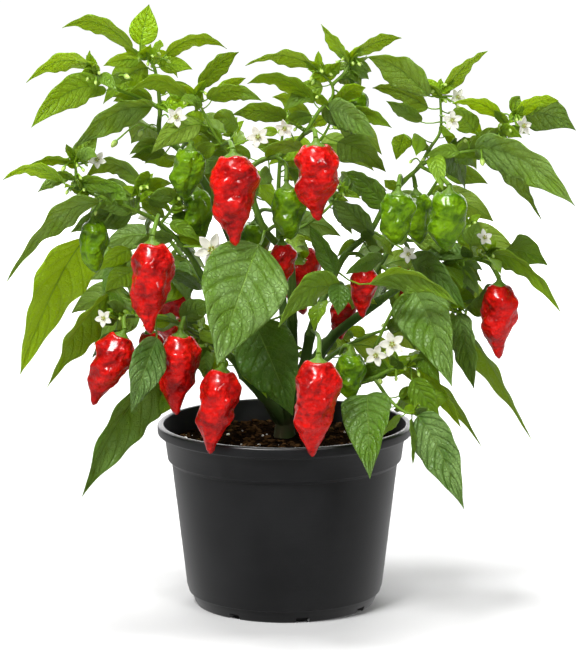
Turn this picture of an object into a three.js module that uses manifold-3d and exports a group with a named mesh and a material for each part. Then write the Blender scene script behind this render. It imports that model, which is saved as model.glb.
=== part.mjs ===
// Potted chilli pepper plant: a bushy plant with wrinkled red and green pods, white flowers and large pointed
// leaves, rooted in the soil of a round nursery pot.
// Millimetres, +Z up, -Y towards the front, origin under the middle of the pot.
import * as THREE from "three";
import { LoftGeometry } from "three/addons/geometries/LoftGeometry.js";
import { mergeVertices } from "three/addons/utils/BufferGeometryUtils.js";
import Module from "manifold-3d";

// The pot, a thin-walled moulding with a rolled lip and a deeper collar under it.
const POT_RIM_RADIUS = 85;
const POT_HEIGHT = 122.4;
const POT_BASE_RADIUS = 59;
const POT_FOOT_RADIUS = 64.6;
const POT_WALL_TOP_RADIUS = 75.6;
const POT_WALL = 2;
const POT_FLOOR = 2.4;
const COLLAR_BOTTOM = 98.6;
const COLLAR_TOP = 114.6;
const COLLAR_RADIUS = 80.4;
const FOOT_LEDGE = 8.8;
const POT_SIDES = 30;
const DRAIN_SLOTS = 8;
const DRAIN_SLOT_WIDTH = 9;
const DRAIN_SLOT_HEIGHT = 3.6;
const DRAIN_SLOT_DEPTH = 14;
const DRAIN_SLOT_START = 0.25; // turns of one slot, from +X

// The soil, which is heaped a little round the trunk.
const SOIL_LEVEL = 108;
const SOIL_HEAP = 5;
const SOIL_SIDES = 20;
const GAP = 0.3; // between pieces that touch on the real plant
const FACET_SLACK = 0.4; // what a flat facet lies inside its round
const TRUNK_CLEARANCE = 0.8; // between the trunk and the soil, of which the facets take a part

// The plant.
const TRUNK_RADIUS = 7;
const TRUNK_FOOT = 72;
const TRUNK_FORK = 124;
const BLADE_THICKNESS = 0.7;
const STALK_WIDTH = 1.7;
const STALK_THICKNESS = 1.3;
const PEDICEL_RADIUS = 1.5;
const FLOWER_STALK_RADIUS = 0.8;
const FLOWER_CUP_RADIUS = 1.3;
const CALYX_RADIUS = 7;
const CALYX_HEIGHT = 5;
const CALYX_SIDES = 5;
const POD_SIDES = 8;
const POD_ROWS = { red: 6, green: 5 };
const PETALS = 5;
const SIX_PETALLED_FLOWER = "flower_1";
const GOLDEN_ANGLE = 2.399963;

// Radius of the woody part of a stem at the fork and of its last shoot, then the same of a twig.
const STEM_RADII = [4, 1];
const TWIG_RADII = [1.6, 0.9];
const STEM_SIDES = 4;
const FLOWER_STALK_SIDES = 3;

// Blades: the fold at the midrib and how much it varies, the twist from base to tip, all in degrees, and the
// waves of the edge, whose height is a share of the width.
const BLADE_FOLD = 16;
const BLADE_FOLD_SPREAD = 8;
const BLADE_TWIST = 10;
const EDGE_WAVE = 0.05;
const EDGE_WAVE_RATE = 9;

// Leaves on the far side: length, how much longer the longest is, width as a share of length, turn in degrees.
const FAR_LEAF_LENGTH = 40;
const FAR_LEAF_SPREAD = 20;
const FAR_LEAF_WIDTH = 0.47;
const FAR_LEAF_TURN = 44;
const FAR_LEAF_ARCH = 0.12;
const FAR_LEAF_STALK = 7;

// Places on the plant are given as a viewer in front sees them: a column and a row of the view, in pixels, and
// how far behind the trunk the place lies, in mm. The viewer stands here.
const EYE = new THREE.Vector3(2.9, -1940, 520);
const EYE_PITCH = THREE.MathUtils.degToRad(9.9);
const EYE_FOCAL = 2960;
const VIEW_MIDDLE_COLUMN = 289;
const VIEW_MIDDLE_ROW = 335;

// Each leafy stem starts in the trunk. "path" lists its places from there, of which the first "woody" ones are
// part of the trunk. "twigs" grow from the path or from each other. A leaf is column, row and back of the
// blade's base, the same of its tip, then its width and how far the blade turns away from the viewer with its
// face going up (degrees), and how far its middle arches above the straight line (mm). "farTurns" are the turns
// of the stem that carry a leaf on its far side. A pod is its name, the places of its top and its tip, its
// width, and the places along its stalk. A flower is its name, its place, its width, and the way it faces
// (degrees right, degrees up).
const LEAFY_STEMS = {
  leafy_stem_top_left: {
    path: [[272, 402, 8], [262, 330, 24], [240, 262, 26], [215, 200, 22],
      [190, 160, 15], [180, 150, 12], [160, 133, 8], [160, 110, 5], [157, 80, 2], [153, 65, 0], [140, 52, -2]],
    woody: 4,
    twigs: [[[159, 108, 5], [140, 98, -2], [115, 88, -16], [100, 76, -24], [90, 68, -27]]],
    leaves: [
      [140, 45, -3, 149, 4, 2, 19, 10, 0],
      [132, 48, -12, 62, 28, -22, 20, 53, 10],
      [166, 55, 0, 227, 49, 8, 19, 60, 9],
      [140, 60, 4, 103, 66, 12, 12, 33, 2],
      [95, 69, -26, 26, 83, -42, 21, 63, 10],
      [98, 86, -24, 31, 128, -46, 24, 38, 8],
      [152, 107, 0, 72, 150, -38, 27, 50, 9],
      [150, 60, 4, 178, 78, 34, 16, 50, 6],
      [104, 78, -20, 88, 96, 6, 15, 50, 4],
    ],
    farTurns: [0, 2, 8, 14],
    pods: [["green_pod_2", [190, 152, -30], [183, 200, -32], 22, [[180, 150, 12], [188, 141, -12]]]],
    flowers: [["flower_2", [176, 117, -26], 14, 10, 10]],
  },
  leafy_stem_upper_left: {
    path: [[270, 404, 2], [258, 340, 6], [238, 308, 6], [207, 285, 0],
      [186, 250, -6], [160, 224, -12], [137, 211, -20], [105, 199, -28], [73, 187, -34]],
    woody: 4,
    twigs: [[[160, 224, -12], [170, 212, -6], [176, 201, -4]], [[137, 211, -20], [140, 190, -18]],
      [[75, 187, -34], [76, 172, -32], [74, 160, -32]]],
    leaves: [
      [73, 163, -32, 29, 165, -42, 13, 60, 3],
      [62, 182, -36, 3, 180, -50, 18, 61, 9],
      [140, 184, -16, 84, 180, -8, 20, 55, 12],
      [80, 185, -36, 122, 193, -52, 14, 36, 3],
      [76, 161, -30, 98, 135, -26, 14, 5, 1],
      [175, 197, -8, 148, 199, -20, 12, 20, 2],
      [98, 203, -36, 6, 283, -66, 30, 60, 14],
      [132, 214, -14, 70, 233, -14, 22, 31, 4],
      [172, 240, -14, 135, 245, -26, 12, 33, 3],
      [85, 238, 6, 20, 375, 20, 44, 47, 10],
      [130, 250, 2, 100, 270, 14, 15, 30, 2],
      [134, 270, 6, 105, 292, 18, 18, 30, 2],
      [192, 284, 4, 160, 278, 22, 15, 40, 3],
    ],
    farTurns: [0, 2, 6],
    pods: [["red_pod_3", [152, 246, -62], [149, 334, -66], 29, [[158, 223, -14], [158, 216, -42]]],
      ["green_pod_1", [93, 224, -32], [95, 273, -34], 19, [[105, 199, -28], [99, 205, -34]]],
      ["green_pod_3", [195, 192, 4], [200, 243, 0], 20, [[188, 254, -6], [178, 222, 18], [186, 190, 10]]]],
    flowers: [["flower_9", [97, 160, -22], 12, 10, 20],
      ["flower_1", [212, 250, -52], 23, 0, 5]],
  },
  leafy_stem_low_left: {
    path: [[279, 414, -4], [262, 395, -8], [243, 375, -16],
      [232, 358, -22], [215, 345, -28], [195, 333, -33], [170, 320, -36], [140, 316, -38], [118, 318, -40]],
    woody: 3,
    twigs: [],
    leaves: [
      [108, 296, -34, 47, 388, -52, 36, 56, 8],
      [116, 330, -30, 92, 358, -10, 12, 48, 1],
      [163, 372, -40, 82, 497, -78, 44, 47, 12],
      [157, 338, -70, 131, 413, -92, 25, 30, 2],
      [172, 392, -44, 160, 415, -48, 11, 20, 0],
      [205, 350, -30, 207, 382, -34, 15, 40, 0],
    ],
    farTurns: [0, 2, 8],
    pods: [["red_pod_4", [121, 338, -62], [92, 405, -66], 26, [[134, 316, -38], [124, 318, -56]]],
      ["red_pod_5", [180, 338, -54], [175, 415, -56], 28, [[186, 328, -35], [184, 318, -50]]],
      ["red_pod_6", [222, 373, -78], [209, 454, -84], 27, [[230, 358, -23], [224, 350, -62]]],
      ["red_pod_13", [150, 334, -14], [152, 378, -12], 19, [[156, 318, -37], [150, 316, -16]]]],
    flowers: [["flower_10", [104, 318, -62], 12, -20, 0]],
  },
  leafy_stem_middle: {
    path: [[284, 415, 2], [292, 370, 6], [292, 320, 6],
      [290, 265, 4], [283, 250, 2], [265, 230, -4], [252, 195, -4], [250, 170, -4], [262, 160, -4],
      [280, 155, -6], [303, 135, -8], [320, 110, -10], [332, 98, -10], [332, 85, -10], [318, 70, -12]],
    woody: 3,
    twigs: [[[332, 85, -10], [345, 72, -6], [352, 58, -4]],
      [[250, 170, -4], [230, 155, -10], [212, 130, -14], [205, 115, -16], [195, 95, -18]]],
    leaves: [
      [258, 245, -52, 217, 365, -88, 56, 8, 3],
      [254, 322, -30, 293, 416, -44, 44, 4, 2],
      [186, 96, -24, 128, 93, -36, 18, 53, 9],
      [199, 86, -16, 239, 52, -8, 19, 50, 3],
      [212, 100, -4, 246, 78, 10, 12, 40, 2],
      [208, 99, -22, 262, 101, -40, 18, 55, 6],
      [314, 103, -10, 247, 84, -22, 22, 62, 10],
      [311, 120, -4, 272, 97, 14, 18, 52, 4],
      [315, 68, -13, 245, 66, -20, 22, 64, 8],
      [327, 76, -10, 341, 62, -14, 11, 40, 1],
      [348, 62, -8, 321, 24, -14, 15, 63, 1],
      [354, 54, -4, 402, 38, 6, 16, 58, 3],
      [285, 118, -20, 232, 115, -36, 19, 50, 4],
      [238, 128, 4, 213, 118, 22, 16, 40, 3],
      [222, 142, -12, 200, 131, 4, 12, 35, 2],
      [240, 156, 2, 205, 147, 20, 15, 38, 3],
      [300, 150, -14, 265, 148, -34, 15, 50, 3],
      [270, 172, -12, 258, 186, -26, 12, 25, 1],
      [330, 110, -14, 375, 138, -34, 24, 42, 4],
      [338, 104, -6, 366, 88, -24, 16, 50, 4],
      [338, 142, -4, 386, 172, 8, 27, 45, 4],
    ],
    farTurns: [0, 1, 6, 15, 17],
    pods: [["red_pod_1", [233, 159, -58], [234, 246, -64], 31, [[222, 145, -12], [230, 142, -44]]],
      ["red_pod_2", [316, 148, -44], [317, 221, -46], 31, [[305, 134, -8], [314, 130, -32]]],
      ["green_pod_4", [287, 190, -28], [290, 240, -30], 23, [[276, 156, -5], [286, 166, -22]]],
      ["red_pod_9", [282, 246, -24], [284, 288, -26], 18, [[266, 232, -4], [276, 226, -14]]],
      ["green_pod_8", [354, 94, 6], [356, 134, 5], 20, [[340, 78, -8], [350, 78, 2]]]],
    flowers: [["flower_3", [258, 137, -30], 15, 0, 10], ["flower_6", [285, 128, -36], 13, -20, -20]],
  },
  leafy_stem_top_right: {
    path: [[288, 412, -4], [303, 370, -8], [310, 335, -10],
      [318, 310, -8], [330, 285, -4], [345, 255, 0], [370, 232, 2], [385, 205, 2], [405, 180, 0],
      [418, 168, -4], [430, 148, -6], [440, 132, -6], [440, 92, -6]],
    woody: 3,
    twigs: [[[420, 166, -4], [440, 155, -10], [480, 148, -16], [500, 130, -18], [515, 115, -20]]],
    leaves: [
      [335, 290, -34, 278, 328, -72, 24, 29, 12],
      [336, 274, -22, 309, 224, -28, 17, 40, 2],
      [340, 284, -40, 338, 315, -60, 15, 5, 0],
      [382, 260, -34, 345, 275, -56, 14, 40, 3],
      [370, 284, -44, 458, 306, -76, 27, 58, 13],
      [428, 96, -10, 367, 57, -24, 28, 50, 6],
      [428, 108, -2, 372, 88, 22, 20, 55, 4],
      [443, 92, -6, 488, 51, 0, 17, 55, 4],
      [501, 118, -20, 452, 104, -34, 16, 55, 6],
      [475, 130, -20, 448, 112, -34, 16, 20, 2],
      [517, 114, -22, 559, 101, -24, 16, 52, 4],
      [512, 112, -14, 520, 96, -8, 11, 30, 1],
      [501, 130, -18, 522, 138, -32, 10, 40, 2],
      [476, 148, -18, 575, 206, -46, 36, 48, 10],
      [500, 158, -10, 542, 221, 14, 20, 60, 5],
      [420, 122, -6, 386, 101, -24, 14, 45, 2],
      [404, 134, -2, 396, 160, 2, 15, 30, 1],
      [420, 136, -14, 416, 156, -26, 12, 30, 1],
      [372, 236, -2, 330, 200, -12, 22, 50, 4],
      [386, 208, -4, 345, 172, 10, 22, 50, 4],
    ],
    farTurns: [0, 1, 3, 5, 11, 19],
    pods: [["green_pod_5", [398, 196, -42], [395, 245, -44], 23, [[402, 182, 0], [400, 176, -30]]],
      ["green_pod_6", [416, 196, 4], [419, 244, 2], 20, [[412, 173, -2], [414, 178, 4]]],
      ["green_pod_7", [449, 195, -38], [445, 252, -40], 25, [[420, 166, -5], [442, 178, -28]]],
      ["red_pod_7", [318, 364, -90], [311, 457, -95], 31, [[312, 330, -10], [319, 338, -60]]],
      ["red_pod_10", [364, 268, -14], [362, 318, -16], 19, [[347, 254, 0], [358, 254, -10]]],
      ["red_pod_12", [343, 300, 26], [340, 340, 26], 18, [[332, 282, -4], [342, 284, 18]]]],
    flowers: [["flower_7", [523, 126, -28], 13, 40, 10], ["flower_11", [457, 97, -14], 12, 30, 10],
      ["flower_12", [452, 120, -36], 13, 10, 0], ["flower_14", [408, 254, -16], 12, 10, 0]],
  },
  leafy_stem_right_middle: {
    path: [[293, 404, 8], [325, 345, 16], [380, 300, 16],
      [420, 275, 8], [450, 262, 0], [470, 259, -5], [490, 256, -8]],
    woody: 3,
    twigs: [],
    leaves: [
      [412, 262, -4, 466, 310, -38, 26, 35, 6],
      [468, 285, 10, 466, 315, 18, 11, 40, 1],
      [470, 245, -6, 478, 222, -2, 15, 10, 0],
      [490, 255, -8, 561, 313, -22, 24, 62, 12],
    ],
    farTurns: [0, 1, 3, 5],
    pods: [["red_pod_8", [499, 287, -12], [498, 359, -14], 25, [[476, 259, -6], [490, 264, -10]]]],
    flowers: [["flower_8", [484, 238, -20], 12, 30, 30]],
  },
  leafy_stem_low_right: {
    path: [[292, 410, -2], [320, 394, -10], [345, 385, -18],
      [375, 378, -26], [390, 370, -30], [412, 366, -32]],
    woody: 3,
    twigs: [[[375, 379, -26], [390, 400, -38], [405, 412, -46], [415, 414, -50]],
      [[360, 381, -22], [376, 345, -14], [392, 312, -12], [405, 294, -14], [440, 300, -10], [460, 312, -8]]],
    leaves: [
      [402, 296, -18, 415, 350, -30, 20, 20, 2],
      [415, 292, -24, 452, 387, -60, 38, 22, 6],
      [458, 314, -14, 474, 389, -30, 26, 50, 3],
      [452, 312, 2, 531, 439, 16, 28, 66, 6],
      [367, 395, -62, 370, 479, -112, 34, 8, 6],
      [418, 416, -54, 464, 509, -84, 30, 22, 6],
      [412, 380, -38, 440, 425, -46, 18, 20, 2],
      [420, 366, -26, 461, 428, -20, 18, 60, 3],
      [396, 366, -14, 481, 446, 14, 20, 62, 12],
      [420, 352, -36, 440, 382, -46, 15, 30, 1],
    ],
    farTurns: [1, 3, 5],
    pods: [["green_pod_9", [350, 356, -48], [350, 400, -50], 20,
      [[356, 381, -22], [342, 362, -22], [345, 346, -42]]]],
    flowers: [["flower_4", [392, 344, -48], 17, 0, 5], ["flower_5", [376, 355, -52], 15, -10, -5]],
  },
  leafy_stem_back_left: {
    path: [[277, 406, 8], [250, 350, 32], [215, 300, 50], [185, 260, 62], [160, 225, 68], [140, 180, 66]],
    woody: 3,
    twigs: [[[185, 260, 62], [140, 262, 72], [110, 258, 74]], [[200, 280, 56], [165, 296, 54], [135, 305, 52]]],
    leaves: [],
    farTurns: [0, 1, 2, 3, 4, 5, 6, 9, 10],
    pods: [["red_pod_14", [172, 285, 92], [170, 352, 96], 28, [[185, 260, 62], [176, 266, 84]]]],
    flowers: [["flower_15", [150, 215, 92], 17, 200, 10]],
  },
  leafy_stem_back_middle: {
    path: [[284, 408, 8], [285, 340, 36], [280, 270, 54], [278, 210, 64], [280, 160, 66], [285, 110, 60]],
    woody: 3,
    twigs: [[[278, 212, 64], [240, 170, 62], [230, 130, 56]], [[280, 165, 66], [320, 140, 62], [335, 112, 54]],
      [[279, 240, 59], [320, 215, 70], [345, 190, 72]]],
    leaves: [],
    farTurns: [1, 2, 4, 5, 6, 9, 16, 20, 21, 29, 39],
    pods: [["red_pod_15", [300, 250, 90], [302, 315, 92], 29, [[279, 240, 59], [296, 234, 82]]],
      ["green_pod_10", [256, 225, 88], [254, 275, 90], 22, [[278, 212, 64], [262, 210, 82]]]],
    flowers: [["flower_13", [330, 160, 84], 17, 170, 10]],
  },
  leafy_stem_back_right: {
    path: [[292, 406, 8], [330, 340, 36], [365, 290, 54], [395, 240, 64], [425, 200, 68], [450, 160, 64]],
    woody: 3,
    twigs: [[[395, 240, 64], [440, 240, 66], [470, 225, 62]], [[380, 265, 59], [410, 285, 54], [440, 285, 46]]],
    leaves: [],
    farTurns: [0, 1, 2, 3, 4, 6, 9, 11, 12],
    pods: [["red_pod_11", [410, 262, 92], [412, 328, 96], 27, [[395, 240, 64], [406, 244, 84]]]],
    flowers: [],
  },
  leafy_stem_back_low: {
    path: [[286, 414, 8], [300, 388, 36], [318, 366, 58], [340, 350, 74], [370, 335, 84], [400, 325, 88]],
    woody: 3,
    twigs: [[[320, 364, 60], [270, 345, 80], [230, 335, 88], [200, 330, 92]]],
    leaves: [],
    farTurns: [0, 1, 2, 3, 5, 6],
    pods: [],
    flowers: [],
  },
};

const wasm = await Module();
wasm.setup();

const plant = new THREE.Group();
const up = new THREE.Vector3(0, 0, 1);
const right = new THREE.Vector3(1, 0, 0);

// A closed geometry as a solid that can be joined and cut.
function solidOf(geometry) {
  const bare = new THREE.BufferGeometry();
  bare.setAttribute("position", geometry.attributes.position);
  bare.setIndex(geometry.index);
  const merged = mergeVertices(bare, 1e-4);
  return new wasm.Manifold(new wasm.Mesh({
    numProp: 3,
    vertProperties: merged.attributes.position.array,
    triVerts: new Uint32Array(merged.index.array),
  }));
}

function geometryOf(solid) {
  const mesh = solid.getMesh();
  const geometry = new THREE.BufferGeometry();
  geometry.setAttribute("position", new THREE.BufferAttribute(mesh.vertProperties, 3));
  geometry.setIndex(new THREE.BufferAttribute(mesh.triVerts, 1));
  geometry.computeVertexNormals();
  return geometry;
}

// Solids that grow together as one body. A hollow that they close between them is filled.
function joined(solids) {
  const bodies = solids.reduce((whole, next) => whole.add(next)).decompose();
  return bodies.reduce((most, body) => (body.volume() > most.volume() ? body : most));
}

function addPiece(name, solid, material) {
  const mesh = new THREE.Mesh(geometryOf(solid), material);
  mesh.name = name;
  plant.add(mesh);
}

function material(color, roughness) {
  return new THREE.MeshStandardMaterial({ color, roughness, metalness: 0, side: THREE.DoubleSide });
}

// The place that the viewer sees at a column and a row of the view, `back` mm behind the trunk.
function seen([column, row, back]) {
  const across = (column - VIEW_MIDDLE_COLUMN) / EYE_FOCAL;
  const rise = (VIEW_MIDDLE_ROW - row) / EYE_FOCAL;
  const sight = new THREE.Vector3(
    across,
    Math.cos(EYE_PITCH) + rise * Math.sin(EYE_PITCH),
    rise * Math.cos(EYE_PITCH) - Math.sin(EYE_PITCH),
  );
  return EYE.clone().addScaledVector(sight, (back - EYE.y) / sight.y);
}

// A round section of `sides` corners, square to the way `along` that the loft runs.
function ring(middle, along, start, radius, sides) {
  const other = new THREE.Vector3().crossVectors(along, start);
  return Array.from({ length: sides }, (_, i) => {
    const angle = (2 * Math.PI * i) / sides;
    return middle.clone()
      .addScaledVector(start, radius * Math.cos(angle))
      .addScaledVector(other, radius * Math.sin(angle));
  });
}

// The part of `wish` that is square to `along`, at unit length.
function acrossFrom(along, wish) {
  return wish.clone().addScaledVector(along, -wish.dot(along)).normalize();
}

function loft(sections) {
  return solidOf(new LoftGeometry(sections, { capStart: true, capEnd: true }));
}

// A tapering stem through the given places.
function stem(places, radii, sides) {
  const curve = new THREE.CatmullRomCurve3(places, false, "centripetal");
  let start = new THREE.Vector3(1, 0.3, 0.1);
  const sections = places.map((place, i) => {
    const along = curve.getTangent(i / (places.length - 1));
    start = acrossFrom(along, start);
    return ring(place, along, start, radii[i], sides);
  });
  return loft(sections);
}

function taper(count, first, last) {
  return Array.from({ length: count }, (_, i) => first + ((last - first) * i) / (count - 1));
}

// A thin closed sheet from rows of points, each row lifted to an upper face and lowered to an under face. Both
// faces are split into the same triangles.
function sheet(rows) {
  const columns = rows[0].points.length;
  const corners = [];
  for (const side of [1, -1])
    for (const row of rows)
      for (const point of row.points)
        corners.push(...point.clone().addScaledVector(row.lift, side).toArray());
  const upper = (i, j) => i * columns + j;
  const under = (i, j) => (rows.length + i) * columns + j;
  const faces = [];
  const last = rows.length - 1;
  const edge = columns - 1;
  for (let i = 0; i < last; i++) {
    for (let j = 0; j < edge; j++) {
      faces.push(upper(i, j), upper(i, j + 1), upper(i + 1, j + 1));
      faces.push(upper(i, j), upper(i + 1, j + 1), upper(i + 1, j));
      faces.push(under(i, j), under(i + 1, j + 1), under(i, j + 1));
      faces.push(under(i, j), under(i + 1, j), under(i + 1, j + 1));
    }
    faces.push(upper(i, 0), upper(i + 1, 0), under(i + 1, 0));
    faces.push(upper(i, 0), under(i + 1, 0), under(i, 0));
    faces.push(upper(i, edge), under(i + 1, edge), upper(i + 1, edge));
    faces.push(upper(i, edge), under(i, edge), under(i + 1, edge));
  }
  for (let j = 0; j < edge; j++) {
    faces.push(upper(0, j), under(0, j), under(0, j + 1));
    faces.push(upper(0, j), under(0, j + 1), upper(0, j + 1));
    faces.push(upper(last, j), under(last, j + 1), under(last, j));
    faces.push(upper(last, j), upper(last, j + 1), under(last, j + 1));
  }
  const geometry = new THREE.BufferGeometry();
  geometry.setAttribute("position", new THREE.Float32BufferAttribute(corners, 3));
  geometry.setIndex(faces);
  return solidOf(geometry);
}

// Half the blade's width along it, as a share of the widest: round at the base and drawn out to a fine tip.
function bladeShare(along) {
  const widest = 0.34;
  const shape = (t) => t ** 0.62 * (1 - t) ** 1.2;
  return shape(along) / shape(widest);
}

// Where a blade has its rows of points, by its size. The large ones also have a row of points on their midrib.
const BLADE_ROWS = { small: [0.38], medium: [0.26, 0.64], large: [0.14, 0.4, 0.72] };
const SMALL_LEAF = 24; // and longer, a blade is medium
const LARGE_LEAF = 58;
const NO_STALK = 1.5; // and shorter, the blade sits on the stem
const SHORT_STALK = 5; // and shorter, the blade runs down it

// One leaf: a stalk from the stem and a blade with a folded midrib, an arched run and waved edges.
function leaf({ root, base, tip, width, turn, rise, toViewer, phase }) {
  const length = base.distanceTo(tip);
  const control = base.clone().add(tip).multiplyScalar(0.5).addScaledVector(up, 2 * rise);
  const midrib = new THREE.QuadraticBezierCurve3(base, control, tip);
  const size = length < SMALL_LEAF ? "small" : length < LARGE_LEAF ? "medium" : "large";
  const foldDegrees = size === "large" ? BLADE_FOLD + BLADE_FOLD_SPREAD * Math.sin(phase) : 0;
  const fold = THREE.MathUtils.degToRad(foldDegrees);
  const frameAt = (t) => {
    const along = midrib.getTangent(t);
    const faced = acrossFrom(along, toViewer);
    const side = new THREE.Vector3().crossVectors(along, faced);
    const degrees = (turn + BLADE_TWIST * t * Math.sin(phase * 3)) * (side.z < 0 ? 1 : -1);
    const normal = faced.applyAxisAngle(along, THREE.MathUtils.degToRad(degrees));
    return { normal, side: new THREE.Vector3().crossVectors(along, normal) };
  };
  const row = (middle, half, thickness, frame, wave) => {
    const reach = half * Math.cos(fold);
    const lift = half * Math.sin(fold);
    const left = middle.clone().addScaledVector(frame.side, -reach).addScaledVector(frame.normal, lift + wave);
    const other = middle.clone().addScaledVector(frame.side, reach).addScaledVector(frame.normal, lift - wave);
    const points = size === "large" ? [left, middle, other] : [left, other];
    return { points, lift: frame.normal.clone().multiplyScalar(thickness / 2) };
  };
  const rows = [];
  const first = frameAt(0);
  const stalk = base.clone().sub(root);
  if (stalk.length() > NO_STALK) {
    stalk.normalize();
    const normal = acrossFrom(stalk, first.normal);
    const side = new THREE.Vector3().crossVectors(stalk, normal);
    rows.push(row(root, STALK_WIDTH / 2, STALK_THICKNESS, { normal, side }, 0));
    first.side.add(side).normalize();
    first.normal.add(normal).normalize();
  }
  if (!rows.length || root.distanceTo(base) > SHORT_STALK)
    rows.push(row(base, STALK_WIDTH / 2, STALK_THICKNESS, first, 0));
  for (const t of BLADE_ROWS[size]) {
    const wave = EDGE_WAVE * width * Math.sin(EDGE_WAVE_RATE * t + phase);
    rows.push(row(midrib.getPoint(t), (width / 2) * bladeShare(t), BLADE_THICKNESS, frameAt(t), wave));
  }
  rows.push(row(tip, BLADE_THICKNESS / 2, BLADE_THICKNESS, frameAt(1), 0));
  return sheet(rows);
}

// Radius of a pod along it, as a share of its half width: square shoulders, a waist and a drawn-out tip.
const POD_OUTLINE = new THREE.SplineCurve([
  [0, 0.62], [0.05, 0.86], [0.14, 0.98], [0.27, 0.99], [0.4, 0.9], [0.52, 0.92], [0.64, 0.78], [0.76, 0.5],
  [0.88, 0.27], [1, 0.09],
].map(([along, share]) => new THREE.Vector2(along, share)));
const POD_SWAY = 0.04; // sideways, as a share of the width
const POD_SWAY_RATE = 7;

// Lumps and furrows that run down a pod.
function podLumps(angle, along, phase) {
  const ends = Math.min(1, 6 * along, 4 * (1 - along));
  const furrows = 0.07 * Math.cos(3 * angle + phase + 1.5 * along);
  const bumps = 0.06 * Math.sin(2 * angle + 11 * along + phase) + 0.04 * Math.cos(5 * angle - 13 * along);
  return 1 + ends * (furrows + bumps);
}

function pod(top, tip, width, rows, phase) {
  const along = tip.clone().sub(top).normalize();
  const start = acrossFrom(along, right);
  const sections = Array.from({ length: rows + 1 }, (_, i) => {
    const point = POD_OUTLINE.getPoint(i / rows);
    const sway = POD_SWAY * width * Math.sin(POD_SWAY_RATE * point.x);
    const middle = top.clone().lerp(tip, point.x).addScaledVector(start, sway);
    return ring(middle, along, start, 1, POD_SIDES).map((corner, j) => {
      const angle = (2 * Math.PI * j) / POD_SIDES;
      const radius = (width / 2) * point.y * podLumps(angle, point.x, phase);
      return middle.clone().addScaledVector(corner.sub(middle), radius);
    });
  });
  return loft(sections);
}

// Height over the pod's top and radius of the cap, from the stalk down to the seat.
const CALYX_OUTLINE = [
  [CALYX_HEIGHT, PEDICEL_RADIUS + 0.4],
  [1.5, CALYX_RADIUS],
  [GAP, CALYX_RADIUS - 0.6],
];

// The pod's stalk and the green cap that grips its shoulders.
function podStalk(places, top, tip) {
  const out = top.clone().sub(tip).normalize();
  const down = out.clone().negate();
  const above = top.clone().addScaledVector(out, CALYX_HEIGHT);
  const route = new THREE.CatmullRomCurve3([...places, above, top], false, "centripetal");
  let start = right.clone();
  const sections = places.map((place, i) => {
    const along = route.getTangent(i / (places.length + 1));
    start = acrossFrom(along, start);
    return ring(place, along, start, PEDICEL_RADIUS, CALYX_SIDES);
  });
  start = acrossFrom(down, start);
  for (const [height, radius] of CALYX_OUTLINE)
    sections.push(ring(top.clone().addScaledVector(out, height), down, start, radius, CALYX_SIDES));
  return loft(sections);
}

// A flower's petals: how far they curl forward at their tips and between them, and where two petals meet, as
// shares of the flower's width. Then their thickness and the ovary that stands in the middle.
const PETAL_TIP_CURL = 0.1;
const PETAL_NOTCH_CURL = 0.02;
const PETAL_NOTCH = 0.17;
const PETAL_THICKNESS = 0.8;
const OVARY_HEIGHT = 3.4;
const OVARY_RADIUS = 1.1;

// A star of pointed petals round a short ovary with its anthers.
function corolla(middle, facing, width, petals) {
  const start = acrossFrom(facing, up);
  const level = (height) => middle.clone().addScaledVector(facing, height);
  const star = (height) => ring(level(height), facing, start, 1, 2 * petals).map((corner, i) => {
    const isTip = i % 2 === 0;
    const way = corner.sub(level(height));
    const curl = width * (isTip ? PETAL_TIP_CURL : PETAL_NOTCH_CURL);
    return level(height + curl).addScaledVector(way, width * (isTip ? 0.5 : PETAL_NOTCH));
  });
  const ovary = ring(level(OVARY_HEIGHT), facing, start, OVARY_RADIUS, 2 * petals);
  return loft([star(0), star(PETAL_THICKNESS), ovary]);
}

// The stalk behind a flower, from the stem to the back of the petals.
function flowerStalk(root, middle, facing) {
  const bend = middle.clone().addScaledVector(facing, -6).addScaledVector(up, 1);
  const end = middle.clone().addScaledVector(facing, -GAP);
  const radii = [FLOWER_STALK_RADIUS, FLOWER_STALK_RADIUS, FLOWER_CUP_RADIUS];
  return stem([root, bend, end], radii, FLOWER_STALK_SIDES);
}

// The nearest place on any of the lines.
function nearestOn(lines, place) {
  let best = null;
  for (const line of lines)
    for (let i = 0; i + 1 < line.length; i++) {
      const near = new THREE.Line3(line[i], line[i + 1])
        .closestPointToPoint(place, true, new THREE.Vector3());
      if (!best || near.distanceTo(place) < best.distanceTo(place)) best = near;
    }
  return best;
}

// A leaf that fills a side of the plant that the front view doesn't show. The turns of a stem go along it, right
// and left by turns, and point outwards from the middle of the plant.
function farLeaf(lines, turn) {
  const share = (step) => (turn * step) % 1; // differs from turn to turn, without a pattern
  const line = new THREE.CatmullRomCurve3(lines[turn % lines.length], false, "centripetal");
  const root = line.getPoint(0.12 + 0.88 * share(0.382));
  const outward = new THREE.Vector3(root.x * 0.7, Math.max(root.y, 12), 0).normalize();
  const swing = (turn % 2 ? 1 : -1) * (0.25 + 1.1 * share(0.618));
  const way = outward.clone().applyAxisAngle(up, swing);
  const length = FAR_LEAF_LENGTH + FAR_LEAF_SPREAD * share(0.71);
  const base = root.clone().addScaledVector(way, FAR_LEAF_STALK).addScaledVector(up, 2);
  const drop = length * (0.1 + 0.5 * share(0.45));
  const tip = base.clone().addScaledVector(way, length * 0.85).addScaledVector(up, -drop);
  return leaf({
    root, base, tip, width: length * FAR_LEAF_WIDTH, turn: FAR_LEAF_TURN, rise: length * FAR_LEAF_ARCH,
    toViewer: outward, phase: GOLDEN_ANGLE * (turn + 1),
  });
}

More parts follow.
